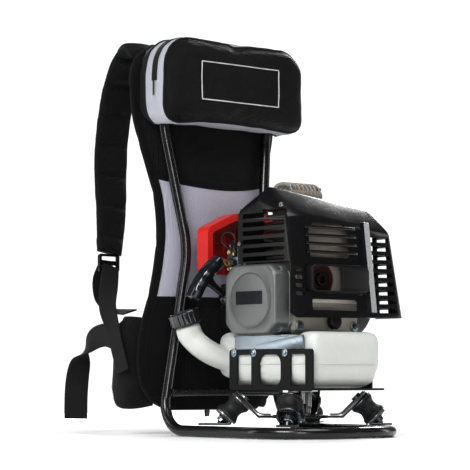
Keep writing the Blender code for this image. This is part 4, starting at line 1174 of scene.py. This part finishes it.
def make_cradle():
    """Pressed tray: two walls of straps with round-bottomed windows, and a floor between them."""
    low, high, thick = 0.060, 0.112, 0.0025
    bm = bmesh.new()
    for x, front in ((-0.0647, -0.2505), (0.0607, -0.226)):
        outline = rounded_rect((front, low), (-0.0905, high), 0.004)
        holes = []
        for far, near, radius in ((-0.1340, -0.1060, 0.0030), (-0.1910, -0.1490, 0.0120),
                                  (max(front + 0.013, -0.2370), -0.2090, 0.0030)):
            if near - far > 2 * radius + 0.004:
                holes.append(rounded_rect((far, low + 0.0058), (near, high - 0.0065), radius, 6))
        sheet_metal(bm, outline, thick, facing((1, 0, 0), (0, 0, 1), (x, 0, 0)), holes)
    floor = rounded_rect((-0.0655, -0.250), (0.0615, -0.0910), 0.004)
    holes = [rounded_rect((-0.045, -0.235), (0.045, -0.190), 0.006),
             rounded_rect((-0.045, -0.125), (0.045, -0.105), 0.006)]
    place = Matrix.Translation((0, 0, low + thick / 2))
    sheet_metal(bm, floor, thick, place, holes)
    keep("cradle_pressing", bm, MATT, "engine", ("cradle",), angle=30, bevel=0.0005)
    bolts = bmesh.new()
    for y in (-0.100, -0.139, -0.199):
        for x, way in ((-0.0660, -1), (0.0620, 1)):
            add_hex(bolts, (x, y, 0.108), (way, 0, 0), 0.0036, 0.0028)
    keep("cradle_bolts", bolts, ZINC, "engine")


def add_hex(bm, place, direction, radius, height, washer=True):
    """A hexagon screw head with its washer."""
    if washer:
        lathe(bm, [(0.0, 0.0008), (radius * 1.5, 0.0008), (radius * 1.5, 0.0), (0.0, 0.0)], place,
              direction, 20, 0.0002)
    lathe(bm, [(0.0, height), (radius * 0.82, height), (radius, height - 0.0006), (radius, 0.0006),
               (0.0, 0.0006)], place, direction, 6, 0.0001)


def add_socket(bm, place, direction, radius, height):
    """A cap screw with a hexagon socket."""
    lathe(bm, [(0.0, height - 0.0022), (radius * 0.45, height - 0.0020), (radius * 0.52, height),
               (radius, height), (radius, 0.0), (0.0, 0.0)], place, direction, 24, 0.0003)


# ---------------------------------------------------------------- starter side


COVER_STRETCH = 1.09


def cover_reach(turn):
    """The starter cover's outline: a rounded square with cut corners."""
    fold = (turn + math.pi / 4) % (math.pi / 2) - math.pi / 4
    flat = 0.0455 / math.cos(fold)
    cut = 0.0545 / math.cos(abs(fold) - math.pi / 4)
    blunt = 46
    return (flat**-blunt + cut**-blunt) ** (-1 / blunt)


def make_starter():
    """The satin cover: a wall with cut corners, and a flat face with a round groove."""
    bm = bmesh.new()
    wall = ((0.0000, 1.03), (0.0040, 1.03), (0.0046, 1.01), (0.0238, 0.990), (0.0262, 0.980),
            (0.0278, 0.962), (0.0286, 0.940), (0.0288, 0.910))
    face = ((0.0288, 0.0378), (0.0286, 0.0372), (0.0279, 0.0362), (0.0278, 0.0352),
            (0.0279, 0.0342), (0.0287, 0.0332), (0.0289, 0.0322), (0.0289, 0.0010))
    sections = [(*row, False) for row in wall] + [(*row, True) for row in face]
    steps = 144
    rings = []
    for depth, size, is_round in sections:
        ring = []
        for i in range(steps):
            turn = 2 * math.pi * i / steps
            reach = size if is_round else size * cover_reach(turn)
            ring.append((-0.0510 - depth, CRANK.y - reach * math.cos(turn) * COVER_STRETCH,
                         CRANK.z + reach * math.sin(turn)))
        rings.append(ring)
    skin(bm, rings)
    keep("starter_casting", bm, SATIN, "engine", ("starter_cover",), angle=32)
    lugs, screws = bmesh.new(), bmesh.new()
    for turn in (45, 135, 225, 315):
        away = Vector((0, math.cos(math.radians(turn)) * 0.0590, math.sin(math.radians(turn)) * 0.0530))
        foot = Vector((-0.0512, CRANK.y, CRANK.z)) + away
        lathe(lugs, [(0.0, 0.0150), (0.0050, 0.0150), (0.0064, 0.0), (0.0, 0.0)], foot, -X_AXIS, 28)
        add_socket(screws, foot - X_AXIS * 0.0148, -X_AXIS, 0.0034, 0.0032)
    keep("starter_lugs", lugs, SATIN, "engine")
    keep("starter_screws", screws, ZINC, "engine")
    badge = bmesh.new()
    outline = rounded_rect((-0.0255, -0.0085), (0.0255, 0.0085), 0.0012)
    sheet_metal(badge, outline, 0.0007, facing(-X_AXIS, Z_AXIS, (-0.0801, CRANK.y, CRANK.z + 0.002)))
    keep("starter_badge", badge, GLOSSY, "engine", bevel=0.0002)
    make_grip()


GRIP_PLACE = Vector((-0.084, -0.060, 0.208))
GRIP_PULL = Vector((-0.825, 0.0, 0.566)).normalized()


def make_grip():
    along = Vector((0.0476, -0.0135, 0.048))
    along = (along - GRIP_PULL * along.dot(GRIP_PULL)).normalized()
    path = []
    for step in range(-20, 21):
        share = step / 20
        path.append(GRIP_PLACE + along * 0.0355 * share - GRIP_PULL * 0.0065 * share * share)

    def section(share):
        end = min(share, 1 - share) * 2
        size = min(1.0, (end / 0.16) ** 0.5) if end < 0.16 else 1.0
        lobes = 1 + 0.05 * math.cos(share * 2 * math.pi * 5)
        return pill(0.0082 * max(size, 0.25), 0.0105 * max(size, 0.25) * lobes, 28, 0.6)

    bar = bmesh.new()
    sweep(bar, path, section, up=GRIP_PULL)
    seat = GRIP_PLACE - GRIP_PULL * 0.0385
    lathe(bar, [(0.0, 0.0), (0.0098, 0.0), (0.0082, -0.006), (0.0050, -0.016), (0.0040, -0.0385),
                (0.0, -0.0385)], GRIP_PLACE - GRIP_PULL * 0.002, GRIP_PULL, 28, 0.0012)
    keep("grip_moulding", bar, GLOSSY, "starter_grip", ("starter_grip",), angle=50)
    ferrule = bmesh.new()
    lathe(ferrule, [(0.0050, 0.0040), (0.0078, 0.0040), (0.0112, -0.0010), (0.0120, -0.0090),
                    (0.0050, -0.0090)], seat - GRIP_PULL * 0.0045, GRIP_PULL, 36, 0.0014)
    keep("rope_ferrule", ferrule, GLOSSY, "engine")


# ---------------------------------------------------------------- crank train, right side


def make_crank_train():
    def turned(name, material, body, node_name, x, profile, steps=56, ripple=None):
        bm = bmesh.new()
        lathe(bm, profile, (x, CRANK.y, CRANK.z), X_AXIS, steps, 0.0007, ripple)
        keep(name, bm, material, body, (node_name,))

    turned("crank_turned", STEEL, "crank", "crankshaft", -0.056,
           [(0.0, 0.157), (0.006, 0.157), (0.006, 0.118), (0.010, 0.118), (0.010, 0.0), (0.0, 0.0)])
    turned("flywheel_cast", CAST, "crank", "flywheel", 0.077,
           [(0.0064, 0.014), (0.042, 0.014), (0.042, 0.0), (0.0064, 0.0)], 96,
           lambda turn, r, h: -0.004 * max(0.0, math.cos(16 * turn)) ** 2 if r > 0.035 else 0.0)
    turned("fan_housing_moulded", PLASTIC, "engine", "fan_housing", 0.0705,
           [(0.013, 0.032), (0.040, 0.032), (0.048, 0.024), (0.048, 0.0), (0.0455, 0.0),
            (0.0455, 0.023), (0.039, 0.0295), (0.013, 0.0295)])
    turned("clutch_housing_cast", SATIN, "engine", "clutch_housing", 0.1030,
           [(0.009, 0.017), (0.020, 0.017), (0.029, 0.010), (0.029, 0.0), (0.026, 0.0),
            (0.026, 0.009), (0.019, 0.0145), (0.009, 0.0145)])
    turned("clutch_drum_turned", STEEL, "clutch_drum", "clutch_drum", 0.1035,
           [(0.0, 0.030), (0.0055, 0.030), (0.0055, 0.0105), (0.018, 0.0105), (0.0225, 0.007),
            (0.0225, 0.0), (0.0200, 0.0), (0.0200, 0.006), (0.0, 0.006)])
    turned("output_collar", ZINC, "engine", "output_coupling", 0.1204,
           [(0.0075, 0.018), (0.016, 0.018), (0.017, 0.016), (0.017, 0.006), (0.0195, 0.004),
            (0.0195, 0.0), (0.0075, 0.0)], 72,
           lambda turn, r, h: -0.0004 * abs(math.cos(18 * turn)) if r > 0.0165 and h > 0.005 else 0.0)
    fins, screws = bmesh.new(), bmesh.new()
    for index in range(18):
        turn = 2 * math.pi * index / 18
        away = Vector((0, math.cos(turn), math.sin(turn)))
        foot = Vector((0.1018, CRANK.y, CRANK.z))
        path = (foot + away * 0.0310, foot + away * 0.0385)
        sweep(fins, path, pill(0.0011, 0.0022, 10), up=X_AXIS)
    for turn in (30, 150, 270):
        away = Vector((0, math.cos(math.radians(turn)), math.sin(math.radians(turn))))
        add_hex(screws, Vector((0.1025, CRANK.y, CRANK.z)) + away * 0.0355, X_AXIS, 0.0034, 0.0036)
    keep("fan_housing_ribs", fins, PLASTIC, "engine")
    keep("fan_housing_screws", screws, ZINC, "engine")


# ---------------------------------------------------------------- cylinder and guard


def make_cylinder_head():
    """Ribbed rocker cover, with the plug and its cap."""
    cover = bmesh.new()
    block(cover, (-0.008, -0.146, 0.2986), (0.052, -0.106, 0.3235))
    keep("rocker_casting", cover, CAST, "engine", ("rocker_cover",), bevel=0.006)
    ribs = bmesh.new()
    for index in range(8):
        x = -0.0045 + index * 0.0070
        arch = []
        for step in range(13):
            turn = math.pi * step / 12
            arch.append((x, -0.126 - 0.0185 * math.cos(turn), 0.3140 + 0.0170 * math.sin(turn) ** 0.6))
        sweep(ribs, arch, pill(0.0022, 0.0013, 10), up=Z_AXIS)
    keep("rocker_ribs", ribs, CAST, "engine", angle=45)
    screws = bmesh.new()
    for x in (-0.004, 0.046):
        for y in (-0.142, -0.110):
            add_socket(screws, (x, y, 0.3225), Z_AXIS, 0.0032, 0.0040)
    keep("rocker_screws", screws, ZINC, "engine")
    start = Vector((0.050, -0.134, 0.284))
    plug = bmesh.new()
    lathe(plug, [(0.0, 0.030), (0.003, 0.030), (0.003, 0.022), (0.0045, 0.020), (0.0045, 0.010),
                 (0.0075, 0.009), (0.0075, 0.0), (0.0, 0.0)], start, X_AXIS, 32, 0.0004)
    keep("spark_plug_body", plug, CERAMIC, "engine", ("spark_plug",))
    boot = bmesh.new()
    lathe(boot, [(0.0, 0.030), (0.0075, 0.028), (0.0085, 0.012), (0.0085, 0.0), (0.0048, 0.0),
                 (0.0048, 0.0186), (0.0, 0.0186)], start + X_AXIS * 0.012, X_AXIS, 36, 0.0009,
          lambda turn, r, h: 0.0004 * math.cos(h * 2600) if r > 0.007 else 0.0)
    keep("plug_boot", boot, RUBBER, "plug_cap", ("plug_cap",))


GUARD_CORNERS = (
    (-0.060, -0.101, 0.2225), (-0.060, -0.101, 0.292), (-0.060, -0.136, 0.304),
    (-0.060, -0.198, 0.283), (-0.060, -0.208, 0.2225),
    (-0.048, -0.149, 0.324), (-0.030, -0.199, 0.285),
    (0.105, -0.152, 0.300), (0.103, -0.175, 0.299), (0.124, -0.165, 0.270),
    (0.124, -0.196, 0.268), (0.130, -0.165, 0.154), (0.130, -0.214, 0.154),
    (-0.060, -0.213, 0.152), (0.095, -0.214, 0.154),
)


def cutter(outline, thickness, place):
    bm = bmesh.new()
    sheet_metal(bm, outline, thickness, place)
    bmesh.ops.recalc_face_normals(bm, faces=bm.faces)
    mesh = bpy.data.meshes.new("cutter")
    bm.to_mesh(mesh)
    bm.free()
    obj = bpy.data.objects.new("cutter", mesh)
    bpy.context.scene.collection.objects.link(obj)
    return obj


def guard_cutters():
    """Slots of the guard, each a rounded window pushed through the wall that it opens."""
    side = facing(-X_AXIS, Z_AXIS, (-0.060, 0, 0))
    front = facing(-Y_AXIS, Z_AXIS, (0, -0.205, 0))
    made = []
    for index in range(6):
        z = 0.226 + index * 0.0112
        made.append(cutter(rounded_rect((0.110, z), (0.192, z + 0.0064), 0.0016, 3), 0.03, side))
    upper = rounded_corners([(0.150, 0.2925), (0.188, 0.2915), (0.1935, 0.2865), (0.190, 0.2850),
                             (0.150, 0.2885)], 0.0008, 2)
    made.append(cutter(upper, 0.02, side))
    window = rounded_corners([(-0.028, 0.230), (0.044, 0.230), (0.044, 0.268), (0.036, 0.275),
                              (-0.019, 0.275), (-0.028, 0.266)], 0.004)
    made.append(cutter(window, 0.06, front))
    made.append(cutter(rounded_rect((-0.0385, 0.183), (0.0665, 0.222), 0.005), 0.06, front))
    made.append(cutter(rounded_rect((-0.030, 0.162), (0.050, 0.176), 0.003), 0.06, front))
    for index in range(4):
        z = 0.1800 + index * 0.0105
        made.append(cutter(rounded_rect((-0.0565, z), (-0.0425, z + 0.0052), 0.0015, 3), 0.06, front))
    right = facing(X_AXIS, Z_AXIS, (0.127, 0, 0))
    for index in range(9):
        z = 0.1600 + index * 0.0117
        wedge = [(0.082, z), (0.1195, z + 0.0006), (0.1195, z + 0.0058), (0.082, z + 0.0068)]
        made.append(cutter(rounded_corners(wedge, 0.0014, 3), 0.05, front))
        made.append(cutter(rounded_rect((-0.190, z), (-0.171, z + 0.006), 0.0014, 3), 0.03, right))
    made.append(starter_clearance())
    roof = rounded_rect((-0.044, -0.1485), (0.110, -0.050), 0.004)
    made.append(cutter(roof, 0.07, Matrix.Translation((0, 0, 0.318))))
    return made


def is_chamfered(edge):
    """The long folds of the guard that have a broad chamfer: all but those of its open sides."""
    if len(edge.link_faces) != 2 or edge.calc_face_angle() < math.radians(18):
        return False
    return all(face.normal.y <= 0.35 and face.normal.z >= -0.35 for face in edge.link_faces)


def starter_clearance():
    """Where the starter cover stands, behind the guard's lower left corner."""
    window = rounded_rect((0.08, 0.130), (0.2025, 0.2238), 0.004)
    return cutter(window, 0.03, facing(-X_AXIS, Z_AXIS, (-0.060, 0, 0)))


def make_guard_shell():
    """The guard's outer skin: a hull with broad chamfers, open at the back and below."""
    bm = bmesh.new()
    bmesh.ops.convex_hull(bm, input=[bm.verts.new(corner) for corner in GUARD_CORNERS])
    bmesh.ops.recalc_face_normals(bm, faces=bm.faces)
    bmesh.ops.dissolve_limit(bm, angle_limit=math.radians(3), verts=bm.verts, edges=bm.edges)
    chamfered = [edge for edge in bm.edges if is_chamfered(edge)]
    bmesh.ops.bevel(bm, geom=chamfered, offset=0.0042, offset_type="OFFSET", segments=2, profile=0.5,
                    affect="EDGES", clamp_overlap=True)
    gone = [face for face in bm.faces if face.normal.y > 0.35 or face.normal.z < -0.35]
    bmesh.ops.delete(bm, geom=gone, context="FACES")
    return keep("guard_moulding", bm, PLASTIC, "engine", ("muffler_guard",))


def make_guard():
    guard = make_guard_shell()
    solid = guard.modifiers.new("Solidify", "SOLIDIFY")
    solid.thickness = 0.003
    solid.offset = -1.0
    solid.use_even_offset = True
    cutters = guard_cutters()
    for obj in cutters:
        obj.location = MACHINE_SHIFT
        boolean = guard.modifiers.new("Cut", "BOOLEAN")
        boolean.object = obj
        boolean.operation = "DIFFERENCE"
    bpy.context.view_layer.update()
    done = bpy.data.meshes.new_from_object(guard.evaluated_get(bpy.context.evaluated_depsgraph_get()))
    guard.modifiers.clear()
    guard.data = done
    for obj in cutters:
        bpy.data.objects.remove(obj)
    flat = bmesh.new()
    flat.from_mesh(done)
    bmesh.ops.remove_doubles(flat, verts=flat.verts, dist=0.00002)
    bmesh.ops.dissolve_limit(flat, angle_limit=math.radians(1), verts=flat.verts, edges=flat.edges)
    flat.to_mesh(done)
    flat.free()
    done.shade_smooth()
    done.set_sharp_from_angle(angle=math.radians(30))
    done.materials.clear()
    done.materials.append(PLASTIC)
    round_edges(guard, 0.0007)
    make_guard_details()


def make_guard_details():
    """Slats across the front window and two screws."""
    slats = bmesh.new()
    for index in range(4):
        z = 0.2365 + index * 0.0108
        y = -0.2085 + index * 0.0016
        sweep(slats, [(-0.036, y + 0.001, z), (-0.030, y - 0.0008, z), (0.046, y - 0.0008, z),
                      (0.052, y + 0.001, z)], pill(0.0022, 0.0018, 12, 0.7), up=Z_AXIS)
    keep("guard_slats", slats, PLASTIC, "engine", angle=50)
    screws = bmesh.new()
    for place in ((-0.0600, -0.1870, 0.2962), (-0.0605, -0.1060, 0.2500)):
        add_socket(screws, place, -X_AXIS, 0.0030, 0.0026)
    keep("guard_screws", screws, ZINC, "engine")
    make_guard_inserts()


def make_guard_inserts():
    """A dark plate behind the side slots, standing in for the shade inside the guard, and a glossy rib
    beside the front window.
    """
    shade_plate = bmesh.new()
    # painted shade: a dark plate standing in for the shade behind the side slots
    block(shade_plate, (-0.0570, -0.1035, 0.2260), (-0.0170, -0.1015, 0.2960))
    keep("guard_shade_plate", shade_plate, MATT, "engine", bevel=0.0006)
    rib = bmesh.new()
    for x, lift in ((0.0690, 0.0043), (0.0812, 0.0017)):
        for z in (0.1600, 0.2790):
            surface = -0.2000 - (0.2700 - z) * 0.125
            for y in (surface - lift, surface + 0.0030):
                rib.verts.new((x, y, z))
    bmesh.ops.convex_hull(rib, input=rib.verts)
    keep("guard_rib", rib, GLOSSY, "engine", bevel=0.0008)


def make_nozzle():
    """The square outlet box: a lipped mouth on the left, hollow behind it, closed on the right."""
    def frame_of(low, high, radius, y):
        return [(x, y, z) for x, z in rounded_rect(low, high, radius, 8)]

    rings = []
    for y, inset in ((-0.2025, 0.0), (-0.2140, 0.0005), (-0.2172, 0.0010), (-0.2188, 0.0020),
                     (-0.2195, 0.0036)):
        low, high = (-0.0380 + inset, 0.1835 + inset), (0.0655 - inset, 0.2215 - inset)
        rings.append(frame_of(low, high, 0.0090 - inset * 0.5, y))
    for y, inset in ((-0.2195, -0.0006), (-0.2188, 0.0), (-0.2172, 0.0), (-0.2168, -0.0004)):
        low, high = (-0.0345 + inset, 0.1870 + inset), (0.0160 - inset, 0.2180 - inset)
        rings.append(frame_of(low, high, 0.0060, y))
    for y in (-0.2166, -0.2025):
        rings.append(frame_of((-0.0358, 0.1857), (0.0630, 0.2193), 0.0070, y))
    box = bmesh.new()
    skin(box, rings, closed=True)
    keep("nozzle_moulding", box, MATT, "engine", ("exhaust_nozzle",), angle=40)
    make_muffler()


def make_muffler():
    """A drum behind the slats and a flat front plate, tinted by heat around its outlet pipe."""
    middle, half, steps = 0.027, 0.0585, 28
    drum = bmesh.new()
    rings = []
    for z, inset in ((0.2154, 0.004), (0.2162, 0.0014), (0.2180, 0.0), (0.2380, 0.0), (0.2388, 0.0012),
                     (0.2396, 0.0), (0.2596, 0.0), (0.2604, 0.0012), (0.2612, 0.0), (0.2772, 0.0),
                    (0.2786, 0.0014), (0.2790, 0.004)):
        ring = []
        for i in range(steps + 1):
            turn = math.pi * i / steps
            x = middle + (half - inset) * math.cos(turn)
            ring.append((x, -0.1735 - (0.0180 - inset) * math.sin(turn) ** 0.75, z))
        rings.append(ring)
    skin(drum, rings)
    keep("muffler_drum", drum, BRONZED, "engine", ("muffler",), angle=50)
    front = bmesh.new()
    outline = rounded_rect((-0.0310, 0.1720), (0.0890, 0.2210), 0.006)
    sheet_metal(front, outline, 0.0050, facing(-Y_AXIS, Z_AXIS, (0, -0.1984, 0)))
    keep("muffler_front", front, HEATED, "engine", bevel=0.0012)
    ring = bmesh.new()
    lathe(ring, [(0.0055, 0.0050), (0.0080, 0.0050), (0.0084, 0.0), (0.0055, 0.0)],
          OUTLET, -Y_AXIS, 40, 0.0005)
    lathe(ring, [(0.0092, 0.0012), (0.0122, 0.0012), (0.0130, 0.0), (0.0092, 0.0)],
          OUTLET, -Y_AXIS, 48, 0.0004)
    keep("outlet_lip", ring, HEATED, "engine")


# ---------------------------------------------------------------- fuel and air


LEVER_PIVOTS = ((-0.0720, 0.2260), (-0.0830, 0.2380))
CARBURETTOR_SIDE = -0.0500


def make_carburettor_brass():
    """Two screws on the carburettor's side, and the stubs that its levers turn on."""
    brass = bmesh.new()
    for y, z, r, high in ((-0.0700, 0.2410, 0.0028, 0.0010), (-0.0775, 0.2190, 0.0024, 0.0050)):
        lathe(brass, [(0.0, high), (r * 0.8, high), (r, high * 0.84), (r, 0.0), (0.0, 0.0)],
              (CARBURETTOR_SIDE, y, z), -X_AXIS, 24, 0.0004)
    for y, z in LEVER_PIVOTS:
        lathe(brass, [(0.0, 0.0040), (0.0022, 0.0040), (0.0022, 0.0), (0.0, 0.0)],
              (CARBURETTOR_SIDE + 0.0002, y, z), -X_AXIS, 20, 0.0003)
    keep("carburettor_brass", brass, BRASS, "engine")


def make_carburettor_fittings():
    """The throttle's return spring around its pivot, and two cap screws."""
    zinc = bmesh.new()
    radius, pitch, steps_a_turn = 0.0052, 0.0000080, 14
    y, z = LEVER_PIVOTS[0]
    coil = []
    for i in range(30):
        turn = 2 * math.pi * i / steps_a_turn
        coil.append((CARBURETTOR_SIDE - 0.0006 - pitch * i, y + radius * math.cos(turn),
                     z + radius * math.sin(turn)))
    sweep(zinc, coil, circle(0.00045, 6))
    for y in (-0.0880, -0.0672):
        add_socket(zinc, (-0.0440, y, 0.2478), Z_AXIS, 0.0026, 0.0030)
    keep("carburettor_fittings", zinc, ZINC, "engine")


def make_intake():
    make_carburettor_brass()
    make_carburettor_fittings()
    black = bmesh.new()
    loop = smooth_path([(-0.048, -0.066, 0.246), (-0.053, -0.060, 0.256), (-0.054, -0.066, 0.266),
                        (-0.052, -0.078, 0.266), (-0.050, -0.084, 0.256), (-0.0495, -0.080, 0.2475)], 6)
    sweep(black, loop, circle(0.0011, 10))
    lathe(black, [(0.0, 0.010), (0.0070, 0.010), (0.0086, 0.006), (0.0086, 0.0), (0.0, 0.0)],
          (-0.032, -0.0655, 0.232), Y_AXIS, 30, 0.0008,
          lambda turn, r, h: 0.0004 * math.cos(16 * turn) if r > 0.0065 else 0.0)
    keep("carburettor_wire", black, RUBBER, "engine", angle=60)
    bulb = bmesh.new()
    lathe(bulb, [(0.0, 0.0), (0.0075, 0.0), (0.0085, -0.002), (0.0070, -0.0065), (0.0040, -0.0085),
                 (0.0, -0.0090)], (-0.032, -0.077, 0.2086), Z_AXIS, 32, 0.0015)
    keep("primer_bulb_moulded", bulb, RUBBER, "primer_bulb", ("primer_bulb",))
    make_air_filter()


def make_air_filter():
    ribs = bmesh.new()
    for index in range(6):
        z = 0.2150 + index * 0.0078
        sweep(ribs, [(-0.006, -0.0462, z), (0.051, -0.0462, z)], pill(0.0014, 0.0010, 8), up=Z_AXIS)
    block(ribs, (0.0585, -0.0720, 0.2220), (0.0605, -0.0600, 0.2470))
    keep("air_filter_ribs", ribs, PLASTIC, "engine", bevel=0.0005)


def make_rear_cover():
    """Red cover: a rolled rim around a ribbed recess, whose darker red is painted shade."""
    corners = [(0.0615, 0.214), (0.0615, 0.275), (0.012, 0.297), (-0.058, 0.297), (-0.070, 0.285),
               (-0.070, 0.214)]
    inner = [(0.0525, 0.214), (0.0525, 0.269), (0.010, 0.2870), (-0.0535, 0.2870), (-0.0605, 0.281),
             (-0.0605, 0.214)]
    bm = bmesh.new()
    place = facing(Y_AXIS, Z_AXIS, (0.0, -0.0295, 0.0))
    rim = rounded_corners(corners, 0.009)
    notch = rounded_corners([(0.0525, 0.20), *inner[1:-1], (-0.0605, 0.20)], 0.005)
    outline = [(0.0615, 0.214), *[p for p in rim if p[1] > 0.2145], (-0.070, 0.214),
               (-0.0605, 0.214), *reversed([p for p in notch if p[1] > 0.216]), (0.0525, 0.214)]
    sheet_metal(bm, outline, 0.0225, place)
    keep("cover_rim", bm, RED, "engine", ("rear_cover",), angle=30, bevel=0.0026)
    floor = bmesh.new()
    sheet_metal(floor, rounded_corners(inner, 0.004), 0.003, facing(Y_AXIS, Z_AXIS, (0, -0.0205, 0)))
    for index in range(6):
        x = -0.040 + index * 0.0180
        top = 0.2680 + 0.003 * min(3, index)
        block(floor, (x - 0.0011, -0.0285, 0.2150), (x + 0.0011, -0.0205, top))
    for z in (0.2330, 0.2560):
        block(floor, (-0.0515, -0.0265, z - 0.0010), (0.0590, -0.0205, z + 0.0010))
    # the recess takes the red darkened with painted shade
    keep("cover_recess", floor, SHADED_RECESS_RED, "engine", bevel=0.0006)


def make_crankcase_details():
    """Bosses, bolts and joint line of the crankcase, and the oil filler's cap."""
    bosses, bolts = bmesh.new(), bmesh.new()
    for x, z in ((-0.038, 0.142), (-0.038, 0.203), (0.058, 0.142), (0.062, 0.203)):
        place = Vector((x, -0.1945, z))
        lathe(bosses, [(0.0, 0.0032), (0.0062, 0.0032), (0.0072, 0.0), (0.0, 0.0)], place, -Y_AXIS, 28)
        if z < 0.15:
            add_hex(bolts, place - Y_AXIS * 0.0030, -Y_AXIS, 0.0038, 0.0036)
    joint = [(-0.049, -0.1952, 0.158), (0.068, -0.1952, 0.158)]
    sweep(bosses, joint, pill(0.0010, 0.0012, 8), up=Z_AXIS)
    for x in (-0.046, -0.026, 0.038, 0.056):
        add_hex(bolts, (x, -0.224, 0.1306), Z_AXIS, 0.0038, 0.0034)
    keep("crankcase_bosses", bosses, CAST, "engine")
    keep("crankcase_bolts", bolts, ZINC, "engine")
    cap = bmesh.new()
    lathe(cap, [(0.0, 0.009), (0.008, 0.009), (0.010, 0.007), (0.010, 0.0), (0.0, 0.0)],
          (0.020, -0.1954, 0.148), -Y_AXIS, 72, 0.0008,
          lambda turn, r, h: -0.0008 * max(0.0, math.cos(12 * turn)) ** 3 if r > 0.0085 else 0.0)
    keep("oil_cap_ribbed", cap, PLASTIC, "oil_cap", ("oil_cap",))


# ---------------------------------------------------------------- stage


def aimed(name, data, place, target):
    """An object for a light or camera at a place, turned to its target."""
    obj = bpy.data.objects.new(name, data)
    obj.location = place
    obj.rotation_euler = (Vector(target) - Vector(place)).to_track_quat("-Z", "Y").to_euler()
    bpy.context.scene.collection.objects.link(obj)
    return obj


def make_lights():
    """Soft boxes, by name, place, width, watts and height."""
    for name, place, width, power, height in (
            ("key", (-1.8, -0.8, 1.4), 0.9, 34, 0.9),
            ("top", (0.1, -0.8, 2.0), 1.2, 20, 1.2),
            ("fill", (-1.2, -1.7, 0.5), 0.5, 8, 0.5),
            ("rib_strip", (1.9, -0.7, 0.4), 0.35, 5, 1.2),
            ("chamfer", (1.5, 0.8, 1.3), 0.5, 16, 0.5),
            ("back_rim", (0.2, 1.8, 1.2), 0.8, 18, 0.8),
            ("left_rim", (-1.5, 1.1, 0.6), 0.35, 6, 1.5)):
        light = bpy.data.lights.new(name, "AREA")
        light.shape = "RECTANGLE"
        light.size = width
        light.size_y = height
        light.energy = power
        aimed(name, light, place, (0.0, 0.0, 0.25))


def make_world():
    """Plain white where it is seen, and as a light mostly bright behind the machine."""
    world = bpy.data.worlds.new("studio")
    world.use_nodes = True
    tree = world.node_tree
    backdrop = tree.nodes["Background"]
    inputs = {0: node(tree, "TexCoord").outputs["Generated"], 1: tuple((TARGET - EYE).normalized())}
    ahead = node(tree, "VectorMath", inputs, operation="DOT_PRODUCT")
    glow = span(tree, ahead.outputs["Value"], 0.93, 0.988, 0.15, 1.10, smooth=True)
    plain = calc(tree, "MULTIPLY", node(tree, "LightPath").outputs["Is Camera Ray"], 1.10)
    backdrop.inputs["Color"].default_value = (1.0, 1.0, 1.0, 1.0)
    tree.links.new(calc(tree, "MAXIMUM", glow, plain), backdrop.inputs["Strength"])
    scene = bpy.context.scene
    scene.world = world
    scene.view_settings.view_transform = "Standard"
    scene.view_settings.gamma = 0.82


def make_floor():
    """A pale round floor that brightens towards its rim, so that it has no horizon."""
    bm = bmesh.new()
    bmesh.ops.create_circle(bm, cap_ends=True, segments=96, radius=1.5)
    mesh = bpy.data.meshes.new("floor")
    bm.to_mesh(mesh)
    bm.free()
    floor = bpy.data.objects.new("floor", mesh)
    floor.location = (0, 0, -0.0006)
    bpy.context.scene.collection.objects.link(floor)
    material, tree, bsdf = shader("studio_floor", (0.90, 0.90, 0.90), 0.6, Specular_IOR_Level=0.2)
    tint = blend(tree, cloud(tree, 3, 2), (0.89, 0.89, 0.89), (0.92, 0.92, 0.92))
    tree.links.new(tint, bsdf.inputs["Base Color"])
    away = node(tree, "VectorMath", {0: place_of(tree)}, operation="LENGTH").outputs["Value"]
    bsdf.inputs["Emission Color"].default_value = (1.0, 1.0, 1.0, 1.0)
    glow = span(tree, away, 0.30, 0.75, 0.0, 0.9, smooth=True)
    tree.links.new(glow, bsdf.inputs["Emission Strength"])
    mesh.materials.append(material)


def make_stage():
    make_world()
    make_floor()
    make_lights()
    camera = bpy.data.cameras.new("camera")
    camera.lens = LENS
    camera.sensor_width = 36.0
    camera.clip_end = 50.0
    bpy.context.scene.camera = aimed("camera", camera, EYE, TARGET)


# ---------------------------------------------------------------- the whole machine


make_stage()
dress_cad_nodes((
    (PAINT, 0.0006, "spider_plate"),
    (ZINC, 0.0005, "buffer_bolt_front_left buffer_bolt_front_right buffer_bolt_rear_left "
                   "buffer_bolt_rear_right engine_plate carburettor"),
    (PLASTIC, 0.0008, "strap_buckle_left strap_buckle_right air_filter_box rope_guide "
                      "recoil_pulley"),
    (PLASTIC, 0.0002, "choke_lever"),
    (BRASS, 0.0002, "throttle_lever"),
    (CAST, 0.0010, "crankcase"),
    # the cylinder takes the fin finish darkened with painted shade
    (SHADED_FINS, 0.0004, "cylinder"),
))
make_frame()
make_back_panel()
make_straps()
make_pouch()
make_swivel()
make_tank()
make_cradle()
make_starter()
make_crank_train()
make_cylinder_head()
make_guard()
make_nozzle()
make_intake()
make_rear_cover()
make_crankcase_details()
